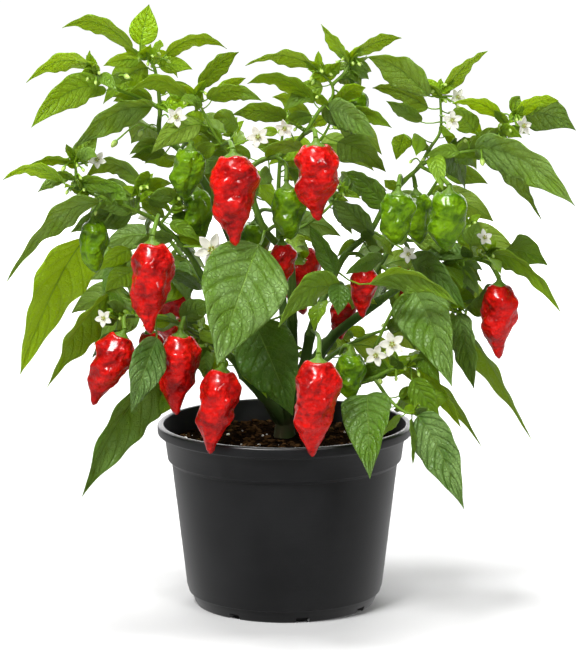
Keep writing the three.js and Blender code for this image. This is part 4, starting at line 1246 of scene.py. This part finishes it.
def pod(template, name, top, tip, width, phase, outline, relief, furrow):
    """One pod: shoulders, waist and drawn-out tip, with lumps, wrinkles and furrows."""
    piece = named(copy_of(template), name)
    sphere = corners_of(piece)
    # The ball's rings are spread over the flat top (crown) and then down the pod (side), both from 0 to 1.
    angle = np.arctan2(sphere[:, 1], sphere[:, 0])
    ring = np.arccos(np.clip(sphere[:, 2], -1, 1)) / math.pi
    side = np.clip((ring - POD_TOP) / (1 - POD_TOP), 0, 1)
    crown = np.clip(ring / POD_TOP, 0, 1)
    close = np.sqrt(np.clip((1 - side) / 0.05, 0, 1))
    shape = pod_outline(side, outline) * pod_lumps(angle, side, phase, furrow)
    radius = 0.47 * width * shape * crown * close
    axis = (tip - top).normalized()
    start = across_from(axis, Vector((1, 0, 0)))
    other = axis.cross(start)
    sway = 0.04 * width * np.sin(7 * side)
    knobs = 1 + 0.3 * np.sin(3 * angle + 2 * phase) + 0.12 * np.sin(5 * angle - phase)
    shoulder = np.exp(-((ring - 1.15 * POD_TOP) / (0.55 * POD_TOP)) ** 2)
    dip = 1.6 * (1 - crown ** 2) - 0.06 * width * shoulder * knobs
    run = (tip - top).length
    middle = np.array(top) + np.outer(side * run + dip, axis) + np.outer(sway, start)
    out = np.outer(np.cos(angle), start) + np.outer(np.sin(angle), other)
    places = middle + out * radius[:, None]

    # The skin is pushed out between its creases, less so at the top and the tip.
    height = wrinkles(places, phase)
    depth = relief * width * (np.minimum(1, 5 * side) * np.minimum(1, 4 * (1 - side)))[:, None]
    places += out * (height - 0.6) * depth
    move_corners(piece, places * MM)
    # The painted shade's share at each corner: high in the creases, low on the lumps.
    mark(piece, "painted_crease_shade", np.clip(1.3 - 2.3 * height, 0, 1).ravel())
    return piece


def cap_template():
    """The cap modelled once: rings extruded from a circle, then five shallow lobes."""
    height, radius = CAP_RINGS[0]
    circle = {"vertices": 30, "radius": radius, "location": (0, 0, height), "fill_type": "NGON"}
    cap = primitive(bpy.ops.mesh.primitive_circle_add, **circle)
    bpy.ops.object.transform_apply(location=True)
    bpy.ops.object.mode_set(mode="EDIT")
    bpy.ops.mesh.select_all(action="SELECT")
    for next_height, next_radius in CAP_RINGS[1:]:
        bpy.ops.mesh.extrude_region_move(TRANSFORM_OT_translate={"value": (0, 0, next_height - height)})
        ratio = next_radius / radius
        bpy.ops.transform.resize(value=(ratio, ratio, 1), center_override=(0, 0, next_height))
        height, radius = next_height, next_radius
    bpy.ops.mesh.select_all(action="SELECT")
    bpy.ops.mesh.normals_make_consistent(inside=False)
    bpy.ops.object.mode_set(mode="OBJECT")
    places = corners_of(cap)
    angle = np.arctan2(places[:, 1], places[:, 0])
    reach = np.hypot(places[:, 0], places[:, 1]) / CAP_RADIUS
    lobes = 1 + 0.1 * np.cos(5 * angle) * reach ** 2 + 0.03 * np.cos(10 * angle) * reach
    places[:, 0] *= lobes
    places[:, 1] *= lobes
    places[:, 2] -= 0.5 * np.cos(5 * angle) * reach ** 3 - 0.5 * reach ** 3 * 0.3
    move_corners(cap, places)
    soften(cap)
    mark(cap, "age", 0.7)
    return cap


def cap_and_stalk(template, stalk, top, tip, width):
    """The cap on a pod's shoulders and the arched stalk that carries it."""
    out = (top - tip).normalized()
    cap = copy_of(template)
    grow = max(0.7, min(1.15, width / CAP_POD_WIDTH))
    put(cap, top * MM, (grow * MM, grow * MM, MM), turned_to(out))
    points = smooth_line([*stalk, top + out * 6], 6)
    radii = [PEDICEL_RADIUS * (0.8 + 0.35 * i / len(points)) for i in range(len(points))]
    radii[-1] = PEDICEL_RADIUS * 1.3
    return [cap, tube("pedicel", points, radii, 0.6)]


# ---------------------------------------------------------------- flowers and buds

def petal_piece(sheet, count, number):
    """One of the petals of a flower of unit width that faces +Z."""
    piece = copy_of(sheet)
    flat = corners_of(piece)
    # s runs across the petal from -1 to 1, t along it from 0 to 1.
    s = flat[:, 0]
    t = (flat[:, 1] + 1) / 2
    half = PETAL_SPREAD[count] * t ** 0.8 * (1 - t) ** 0.95 / 0.3 + 0.004
    curl = 0.13 * t ** 2 - 0.10 * np.maximum(0, t - 0.8)
    trough = 0.05 * s ** 2 * np.sin(math.pi * t)
    ripple = 0.012 * np.sin(9 * t + number * 2.1) * s
    radius = 0.035 + 0.475 * t
    move_corners(piece, np.stack([half * s, radius, curl + trough + ripple], axis=1))
    piece.data.transform(Matrix.Rotation(2 * math.pi * number / count, 4, "Z"))
    return piece


def flower_template(count, petal, ovary, anther, filament):
    """A flower modelled once, of unit width, facing +Z: petals, ovary, style and stamens."""
    sheet = grid(14, 8)
    petals = joined("petals", [petal_piece(sheet, count, number) for number in range(count)])
    apply_modifier(petals, "SOLIDIFY", thickness=0.018, offset=0)
    dress(petals, petal)
    soften(petals)
    core = ball(16, 10)
    put(core, (0, 0, 0.05), (0.072, 0.072, 0.08))
    dress(core, ovary)
    parts = [petals, core]
    for number in range(count):
        angle = 2 * math.pi * (number + 0.5) / count
        foot = Vector((0.05 * math.cos(angle), 0.05 * math.sin(angle), 0.03))
        head = Vector((0.09 * math.cos(angle), 0.09 * math.sin(angle), 0.13))
        thread = tube("filament", [foot / MM, head / MM], [8, 7], 0, 1)
        dress(thread, filament)
        sac = ball(10, 8)
        put(sac, head, (0.036, 0.032, 0.056), turned_to((head - foot).normalized()))
        dress(sac, anther)
        parts += [thread, sac]
    style = tube("style", [Vector((0, 0, 90)), Vector((6, 0, 175))], [10, 14], 0, 1)
    dress(style, filament)
    bpy.data.objects.remove(sheet)
    return joined("flower", [*parts, style])


def make_flowers():
    """The flower with five petals and the one with six."""
    petal = petal_finish()
    ovary = grain_finish("ovary", (0.3, 0.45, 0.05), (0.45, 0.55, 0.12), 0.35, 900.0)
    anther = grain_finish("anther", (0.16, 0.14, 0.02), (0.42, 0.36, 0.05), 0.5, 1200.0)
    filament = grain_finish("filament", (0.75, 0.78, 0.55), (0.85, 0.86, 0.7), 0.4, 900.0)
    return {count: flower_template(count, petal, ovary, anther, filament) for count in PETAL_SPREAD}


def bud_template():
    """A closed bud of unit length that points to +Z, with its green cup."""
    bud = ball(12, 10)
    x, y, z = corners_of(bud).T
    t = (z + 1) / 2
    slim = 0.31 * (1 - 0.35 * t ** 2)
    pleats = 1 + 0.05 * np.cos(5 * np.arctan2(y, x)) * t
    move_corners(bud, np.stack([x * slim * pleats, y * slim * pleats, t], axis=1))
    mark(bud, "age", 1 - np.clip((t - 0.25) / 0.25, 0, 1))
    return bud


def flower_stalk(root, middle, facing):
    bend = middle - facing * 6 + Vector((0, 0, 1))
    points = smooth_line([root, bend, middle - facing * 0.3], 5)
    radii = [FLOWER_STALK_RADIUS * 0.85] * (len(points) - 3) + [0.9, 1.2, 1.7]
    return tube("flower_stalk", points, radii, 0.15)


# ---------------------------------------------------------------- the plant

class LeafyStem:
    """One leafy stem as it grows: its lines, and the pieces that it carries so far."""

    def __init__(self, lines, sheets, bud, luck):
        self.lines = lines
        self.sheets = sheets
        self.bud = bud
        self.luck = luck
        self.shoots = []
        self.blades = []
        self.buds = []

    def leaf(self, base, tip, width, turn, rise, viewer, phase, age, painted_sheen, root=None):
        """A blade and its stalk, which runs on as the rib under the blade."""
        root = root or nearest_on(self.lines, base)
        piece, rib = blade(self.sheets, base, tip, width, turn, rise, viewer, phase, age, painted_sheen)
        thick = 0.35 + 0.009 * width
        run = base - root
        points = []
        radii = []
        if run.length > 1:
            sag = Vector((0, 0, -0.06 * run.length))
            points = [root, root + run * 0.35 + sag, root + run * 0.7 + sag]
            radii = [thick * 1.25, thick, thick]
        points += [middle - normal * 0.25 for middle, normal in rib]
        radii += taper(len(rib), thick * 0.95, 0.14)
        self.blades.append(piece)
        self.shoots.append(tube("stalk", points, radii, 0.35 * age, 1))

    def listed_leaf(self, numbers, phase):
        """A leaf of the table. Its age and painted sheen are by chance where its row has none."""
        base = seen(numbers[:3])
        tip = seen(numbers[3:6])
        width, turn, rise, *look = numbers[6:]
        length = (tip - base).length
        by_chance = leaf_age(length, numbers[1], self.luck.random()), leaf_painted_sheen(length, self.luck.random())
        age, painted_sheen = look or by_chance
        self.leaf(base, tip, width, turn, rise, TO_FRONT, phase, age, painted_sheen)

    def far_leaf(self, turn):
        """A leaf on the far side of the plant, on a turn of its stem."""
        def share(step):
            return (turn * step) % 1

        root = on_line(self.lines[turn % len(self.lines)], 0.12 + 0.88 * share(0.382))
        outward = Vector((root.x * 0.7, max(root.y, 12), 0)).normalized()
        swing = (1 if turn % 2 else -1) * (0.25 + 1.1 * share(0.618))
        way = Matrix.Rotation(swing, 3, "Z") @ outward
        length = FAR_LEAF_LENGTH + FAR_LEAF_SPREAD * share(0.71)
        base = root + way * FAR_LEAF_STALK + Vector((0, 0, 2))
        drop = length * (0.1 + 0.5 * share(0.45))
        tip = base + way * length * 0.85 - Vector((0, 0, drop))
        width = length * FAR_LEAF_WIDTH
        rise = length * FAR_LEAF_ARCH
        phase = GOLDEN_ANGLE * (turn + 1)
        age = 0.35 + 0.6 * share(0.53)
        painted_sheen = self.luck.random()
        self.leaf(base, tip, width, FAR_LEAF_TURN, rise, outward, phase, age, painted_sheen, root)

    def inner_leaf(self, number):
        """A small leaf inside the bush, darker where it is low down."""
        luck = self.luck
        root = on_line(self.lines[number % len(self.lines)], luck.uniform(0.08, 0.97))
        angle = luck.uniform(0, 2 * math.pi)
        aside = 0.8 * math.sin(angle) + 0.25
        way = Vector((math.cos(angle), aside, luck.uniform(-0.5, 0.5))).normalized()
        length = luck.uniform(*INNER_LEAF_LENGTH)
        base = root + way * luck.uniform(3, 9)
        tip = base + way * length - Vector((0, 0, length * luck.uniform(0, 0.5)))
        faced = Vector((luck.uniform(-0.6, 0.6), -0.7, luck.uniform(0, 0.8))).normalized()
        width = length * luck.uniform(0.42, 0.55)
        turn = luck.uniform(0, 40)
        age = luck.uniform(0.1, 0.85) if root.z < INNER_DARK_BELOW else luck.uniform(0, 0.45)
        phase = 6 * luck.random()
        self.leaf(base, tip, width, turn, 0.1 * length, faced, phase, age, luck.random(), root)

    def tuft_leaf(self, base, way):
        """A tiny bright leaf close to a growing tip."""
        luck = self.luck
        length = luck.uniform(*TUFT_LEAF_LENGTH)
        faced = Vector((luck.uniform(-0.4, 0.4), -0.5, 0.9)).normalized()
        width = TUFT_LEAF_WIDTH * length
        phase = 6 * luck.random()
        age = luck.uniform(0, 0.15)
        painted_sheen = 0.3 * luck.random()
        self.leaf(base, base + way * length, width, TUFT_LEAF_TURN, 0.1 * length, faced, phase, age, painted_sheen)

    def hung_bud(self, middle, length):
        """A bud that nods on its arched stalk."""
        root = nearest_on(self.lines, middle)
        way = ((middle - root).normalized() * 0.5 + Vector((0, -0.3, -0.5))).normalized()
        piece = copy_of(self.bud)
        put(piece, middle * MM, (length * MM,) * 3, turned_to(way))
        arch = (root + middle) / 2 + Vector((0, 0, 0.25 * (middle - root).length))
        points = smooth_line([root, arch, middle + way * 0.3], 4)
        self.buds.append(piece)
        self.shoots.append(tube("bud_stalk", points, taper(len(points), *BUD_STALK_RADII), 0.1, 1))

    def tufts(self):
        """Tiny leaves and buds round each growing tip."""
        for line in self.lines:
            for base, way in round_tip(line, TUFT_LEAVES, self.luck):
                self.tuft_leaf(base, way)
            for place, way in round_tip(line, TUFT_BUDS, self.luck):
                middle = place + way * self.luck.uniform(3, 7)
                self.hung_bud(middle, self.luck.uniform(*TUFT_BUD_LENGTH))


def branch(path, woody):
    """The leafy rest of a stem past its woody part, its radius there, and the woody part."""
    radius = taper(len(path), *STEM_RADII)[woody - 1]
    along = (path[woody] - path[woody - 1]).normalized()
    rest = path[woody - 1:]
    rest[0] = rest[0] + along * (BRANCH_SEAT + radius * 0.25)
    return rest, radius, path[:woody]


def hang_pods(pods, template, cap, skins):
    """Makes a stem's pods, and gives their caps and stalks."""
    greens = []
    for number, (name, top, tip, width, stalk) in enumerate(pods):
        kind = "ripe" if name.startswith("red") else "green"
        top = seen(top)
        tip = seen(tip)
        phase = GOLDEN_ANGLE * (number + width)
        fruit = pod(template, name + "_skin", top, tip, width, phase, **POD_KINDS[kind])
        dress(fruit, skins[kind])
        hand_in(fruit, kind + "_pod", name)
        greens += cap_and_stalk(cap, [seen(place) for place in stalk], top, tip, width)
    return greens


def open_flowers(flowers, templates, lines, luck):
    """Makes a stem's open flowers, and gives their stalks."""
    stalks = []
    for name, place, width, rightwards, upwards in flowers:
        middle = seen(place)
        level = math.radians(rightwards)
        lift = math.radians(upwards)
        ahead = -math.cos(level) * math.cos(lift)
        facing = Vector((math.sin(level) * math.cos(lift), ahead, math.sin(lift)))
        petals = 6 if name == SIX_PETALLED_FLOWER else 5
        bloom = named(copy_of(templates[petals]), name + "_bloom")
        spin = Matrix.Rotation(luck.uniform(0, 6), 4, "Z")
        put(bloom, middle * MM, (width * MM,) * 3, turned_to(facing) @ spin)
        hand_in(bloom, "petal", name)
        stalks.append(flower_stalk(nearest_on(lines, middle), middle, facing))
    return stalks


def grow_plant():
    luck = random.Random(7)
    leaf_skins = (leaf_finish("leaf_top", **LEAF_TOP), leaf_finish("leaf_underside", **LEAF_UNDERSIDE))
    pod_skins = {kind: pod_finish(kind + "_skin", **skin) for kind, skin in POD_SKINS.items()}
    shoot_skin = stem_finish()
    bud_skin = bud_finish()
    sheets = [blade_sheet(rows, columns) for rows, columns in BLADE_SHEETS]
    pod_ball = ball(88, 104)
    cap = cap_template()
    flowers = make_flowers()
    bud = bud_template()
    fork = Vector((0, TRUNK_BACK, TRUNK_FORK - 6))
    wood = []
    leaf_count = 0
    for label, parts in LEAFY_STEMS.items():
        node = "leafy_stem_" + label
        main, radius, woody = branch([seen(place) for place in parts["path"]], parts["woody"])
        twigs = [[seen(place) for place in twig] for twig in parts["twigs"]]
        seat = woody[-1] - (main[1] - woody[-1]).normalized() * STEM_OVERLAP
        wood.append(stem("limb", [fork, *woody], STEM_RADII[0], radius, (1, 0)))
        grown = LeafyStem([main, *twigs], sheets, bud, luck)
        grown.shoots.append(stem("stem", [seat, *main[1:]], radius, STEM_RADII[1], (1, 0.35), 0.6))
        grown.shoots += [stem("twig", twig, *TWIG_RADII, (0.6, 0.2)) for twig in twigs]
        for numbers in parts["leaves"]:
            grown.listed_leaf(numbers, GOLDEN_ANGLE * leaf_count)
            leaf_count += 1
        for numbers in parts["young_leaves"]:
            grown.listed_leaf(numbers, GOLDEN_ANGLE * leaf_count)
        for turn in parts["far_turns"]:
            grown.far_leaf(turn)
        for number in range(INNER_LEAVES):
            grown.inner_leaf(number)
        grown.shoots += hang_pods(parts["pods"], pod_ball, cap, pod_skins)
        grown.shoots += open_flowers(parts["flowers"], flowers, grown.lines, luck)
        for *place, length in parts["buds"]:
            grown.hung_bud(seen(place), length)
        grown.tufts()

        gather(label + "_buds", grown.buds, bud_skin, "leaf_green", node)
        leaves = joined(label + "_leaves", grown.blades)
        dress(leaves, *leaf_skins)
        apply_modifier(leaves, "SOLIDIFY", thickness=BLADE_SKIN * MM, offset=0, material_offset=1)
        hand_in(leaves, "leaf_green", node)
        gather(label + "_shoots", grown.shoots, shoot_skin, "leaf_green", node)

    heights = (TRUNK_FOOT, SOIL_LEVEL - 2, SOIL_LEVEL + 5, SOIL_LEVEL + 10, TRUNK_FORK, TRUNK_FORK + 10)
    radii = [TRUNK_RADIUS + swelling for swelling in TRUNK_SWELLINGS]
    wood.append(tube("stump", [Vector((0, TRUNK_BACK, height)) for height in heights], radii, 1, 6))
    gather("trunk_bark", wood, bark_finish(), "woody_stem", "trunk")
    for template in [*sheets, pod_ball, cap, *flowers.values(), bud]:
        bpy.data.objects.remove(template)


# ---------------------------------------------------------------- pot, soil and floor

def spun(name, outline, steps):
    """A turned piece: the outline (radius, height, in mm) is drawn out point by point and spun round +Z."""
    piece = named(primitive(bpy.ops.mesh.primitive_plane_add, size=MM), name)
    bpy.ops.object.mode_set(mode="EDIT")
    bpy.ops.mesh.select_all(action="SELECT")
    bpy.ops.mesh.merge(type="CENTER")
    radius, height = outline[0]
    bpy.ops.transform.translate(value=(radius * MM, 0, height * MM))
    for next_radius, next_height in outline[1:]:
        step = ((next_radius - radius) * MM, 0, (next_height - height) * MM)
        bpy.ops.mesh.extrude_region_move(TRANSFORM_OT_translate={"value": step})
        radius, height = next_radius, next_height
    bpy.ops.mesh.select_all(action="SELECT")
    bpy.ops.mesh.spin(steps=steps, angle=2 * math.pi, center=(0, 0, 0), axis=(0, 0, 1))
    bpy.ops.mesh.select_all(action="SELECT")
    bpy.ops.mesh.remove_doubles(threshold=1e-6)
    bpy.ops.mesh.normals_make_consistent(inside=False)
    bpy.ops.object.mode_set(mode="OBJECT")
    return piece


def arc(centre, radius, start, end, count):
    """Points of an arc in an outline, from one angle to another, in degrees."""
    angles = [math.radians(start + (end - start) * i / (count - 1)) for i in range(count)]
    return [(centre[0] + radius * math.cos(a), centre[1] + radius * math.sin(a)) for a in angles]


def inner_wall(outer):
    return outer - POT_WALL


def make_pot():
    """The nursery pot: foot, ribbed wall, collar and rolled lip, with drain slots round its base."""
    outline = [
        (0, 0),
        (POT_BASE_RADIUS - 3, 0),
        *arc((POT_BASE_RADIUS - 0.2, 1.6), 1.6, -90, -12, 5),
        (POT_FOOT_RADIUS - 1.4, FOOT_LEDGE - 0.7),
        *arc((POT_FOOT_RADIUS - 0.5, FOOT_LEDGE + 0.2), 0.55, -80, 20, 4),
        (POT_FOOT_RADIUS + 1.2, FOOT_LEDGE + 4),
        (POT_WALL_TOP_RADIUS - 0.1, COLLAR_BOTTOM - 3.2),
        *arc((POT_WALL_TOP_RADIUS + 1.2, COLLAR_BOTTOM - 2.9), 1.3, 180, 110, 3),
        *arc((COLLAR_RADIUS - 2.9, COLLAR_BOTTOM + 0.5), 0.8, -80, 0, 4),
        (COLLAR_RADIUS - 0.1, COLLAR_TOP - 1),
        (COLLAR_RADIUS + 0.6, COLLAR_TOP),
        *arc((POT_RIM_RADIUS - 1.5, COLLAR_TOP + 2.2), 1.5, -80, 0, 4),
        *arc((POT_RIM_RADIUS - 1.9, POT_HEIGHT - 1.9), 1.9, 4, 90, 6),
        *arc((POT_RIM_RADIUS - 2.9, POT_HEIGHT - 1.1), 1.1, 90, 190, 5),
        (inner_wall(COLLAR_RADIUS) + 1.2, COLLAR_TOP),
        (inner_wall(COLLAR_RADIUS) - 1.8, COLLAR_BOTTOM + 1.4),
        (inner_wall(POT_WALL_TOP_RADIUS), COLLAR_BOTTOM - 1.2),
        (inner_wall(POT_FOOT_RADIUS) + 1.2, FOOT_LEDGE + 5),
        (POT_BASE_RADIUS, POT_FLOOR),
        (0, POT_FLOOR),
    ]
    pot = spun("pot_shell", outline, POT_STEPS)
    size = Matrix.Diagonal((DRAIN_SLOT_DEPTH * MM, DRAIN_SLOT_WIDTH * MM, 2 * DRAIN_SLOT_HEIGHT * MM, 1))
    out = Matrix.Translation(((POT_BASE_RADIUS + 1) * MM, 0, 0))
    for i in range(DRAIN_SLOTS):
        slot = primitive(bpy.ops.mesh.primitive_cube_add, size=1)
        turn = Matrix.Rotation(2 * math.pi * (i + DRAIN_SLOT_START) / DRAIN_SLOTS, 4, "Z")
        slot.data.transform(turn @ out @ size)
        apply_modifier(slot, "BEVEL", width=DRAIN_SLOT_BEVEL * MM, segments=2)
        apply_modifier(pot, "BOOLEAN", object=slot, operation="DIFFERENCE", solver="EXACT")
        bpy.data.objects.remove(slot)
    soften(pot, 32)
    dress(pot, pot_finish())
    hand_in(pot, "pot_plastic", "pot")


def soil_edge():
    return inner_wall(COLLAR_RADIUS) - 0.8


def soil_height(x, y):
    """How far the soil's top lies over its level: heaped round the trunk, with crumbs and hollows."""
    reach = math.hypot(x, y) / inner_wall(COLLAR_RADIUS)
    heap = SOIL_HEAP * max(0, 1 - reach) ** 1.2
    broad = 1.6 * noise.noise(Vector((x / 22, y / 22, 3)))
    fine = 1.1 * noise.noise(Vector((x / 6, y / 6, 9))) + 0.6 * noise.noise(Vector((x / 2.6, y / 2.6, 1)))
    return heap + broad + fine


def make_soil():
    """The soil: a body that fills the pot, with a rough heaped top."""
    edge = soil_edge()
    outline = [
        (0, POT_FLOOR + GAP),
        (POT_BASE_RADIUS - 1.5, POT_FLOOR + GAP),
        (inner_wall(POT_FOOT_RADIUS) + 0.6, FOOT_LEDGE + 5.2),
        (inner_wall(POT_WALL_TOP_RADIUS) - 0.6, COLLAR_BOTTOM - 1.2),
        (edge, SOIL_LEVEL),
    ]
    outline += [(edge * (1 - i / SOIL_RINGS), SOIL_LEVEL) for i in range(1, SOIL_RINGS + 1)]
    soil = spun("soil_body", outline, SOIL_STEPS)
    places = corners_of(soil)
    for place in places:
        if place[2] > (SOIL_LEVEL - 0.01) * MM:
            fade = min(1, 8 * (1 - math.hypot(place[0], place[1]) / (edge * MM)))
            place[2] += fade * soil_height(place[0] / MM, place[1] / MM) * MM
    move_corners(soil, places)
    soften(soil)
    dress(soil, soil_finish())
    hand_in(soil, "potting_soil", "soil")


def strew_bits():
    """Bark chips and white grains that lie on the soil."""
    chip = primitive(bpy.ops.mesh.primitive_ico_sphere_add, subdivisions=1, radius=1)
    luck = random.Random(3)
    bark = grain_finish("bark_chip", (0.004, 0.0022, 0.001), (0.07, 0.036, 0.014), 0.75, 160.0, 0.0)
    grain = grain_finish("white_grain", (0.5, 0.49, 0.44), (0.75, 0.74, 0.7), 0.8, 700.0)
    for name, number, longest, skin in (("bark_chips", 620, 3.6, bark), ("white_grains", 70, 1.5, grain)):
        bits = []
        for _ in range(number):
            reach = (soil_edge() - 3) * math.sqrt(luck.uniform(0.01, 1))
            angle = luck.uniform(0, 2 * math.pi)
            x = reach * math.cos(angle)
            y = reach * math.sin(angle)
            size = longest * luck.uniform(0.25, 1) ** 1.5
            shape = Vector((size, size * luck.uniform(0.4, 0.9), size * luck.uniform(0.25, 0.6)))
            if name == "white_grains":  # which are rounder
                shape = Vector((size, size * luck.uniform(0.8, 1), size * luck.uniform(0.7, 1)))
            bit = copy_of(chip)
            corners = corners_of(bit)
            corners *= np.array([[luck.uniform(0.75, 1.2)] for _ in corners])
            move_corners(bit, corners)
            turn = Matrix.Rotation(luck.uniform(0, 6), 4, "Z")
            tilt = Matrix.Rotation(luck.uniform(-0.5, 0.5), 4, "X")
            lie = Vector((x, y, SOIL_LEVEL + soil_height(x, y) + 0.25 * shape.z))
            put(bit, lie * MM, shape * MM, turn @ tilt)
            bits.append(bit)
        gather(name, bits, skin, "potting_soil")
    bpy.data.objects.remove(chip)


def lay_floor():
    circle = {"vertices": 128, "radius": FLOOR_RADIUS, "fill_type": "NGON"}
    floor = primitive(bpy.ops.mesh.primitive_circle_add, **circle)
    floor.name = "floor"
    floor.visible_glossy = False
    dress(floor, floor_finish())
    floor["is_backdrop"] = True


look_at_plant()
light_studio()
lay_floor()
make_pot()
make_soil()
strew_bits()
grow_plant()

boxes = {"cad": cad_box, "visual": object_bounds()}
{name: [list(corner) for corner in box] for name, box in boxes.items()}
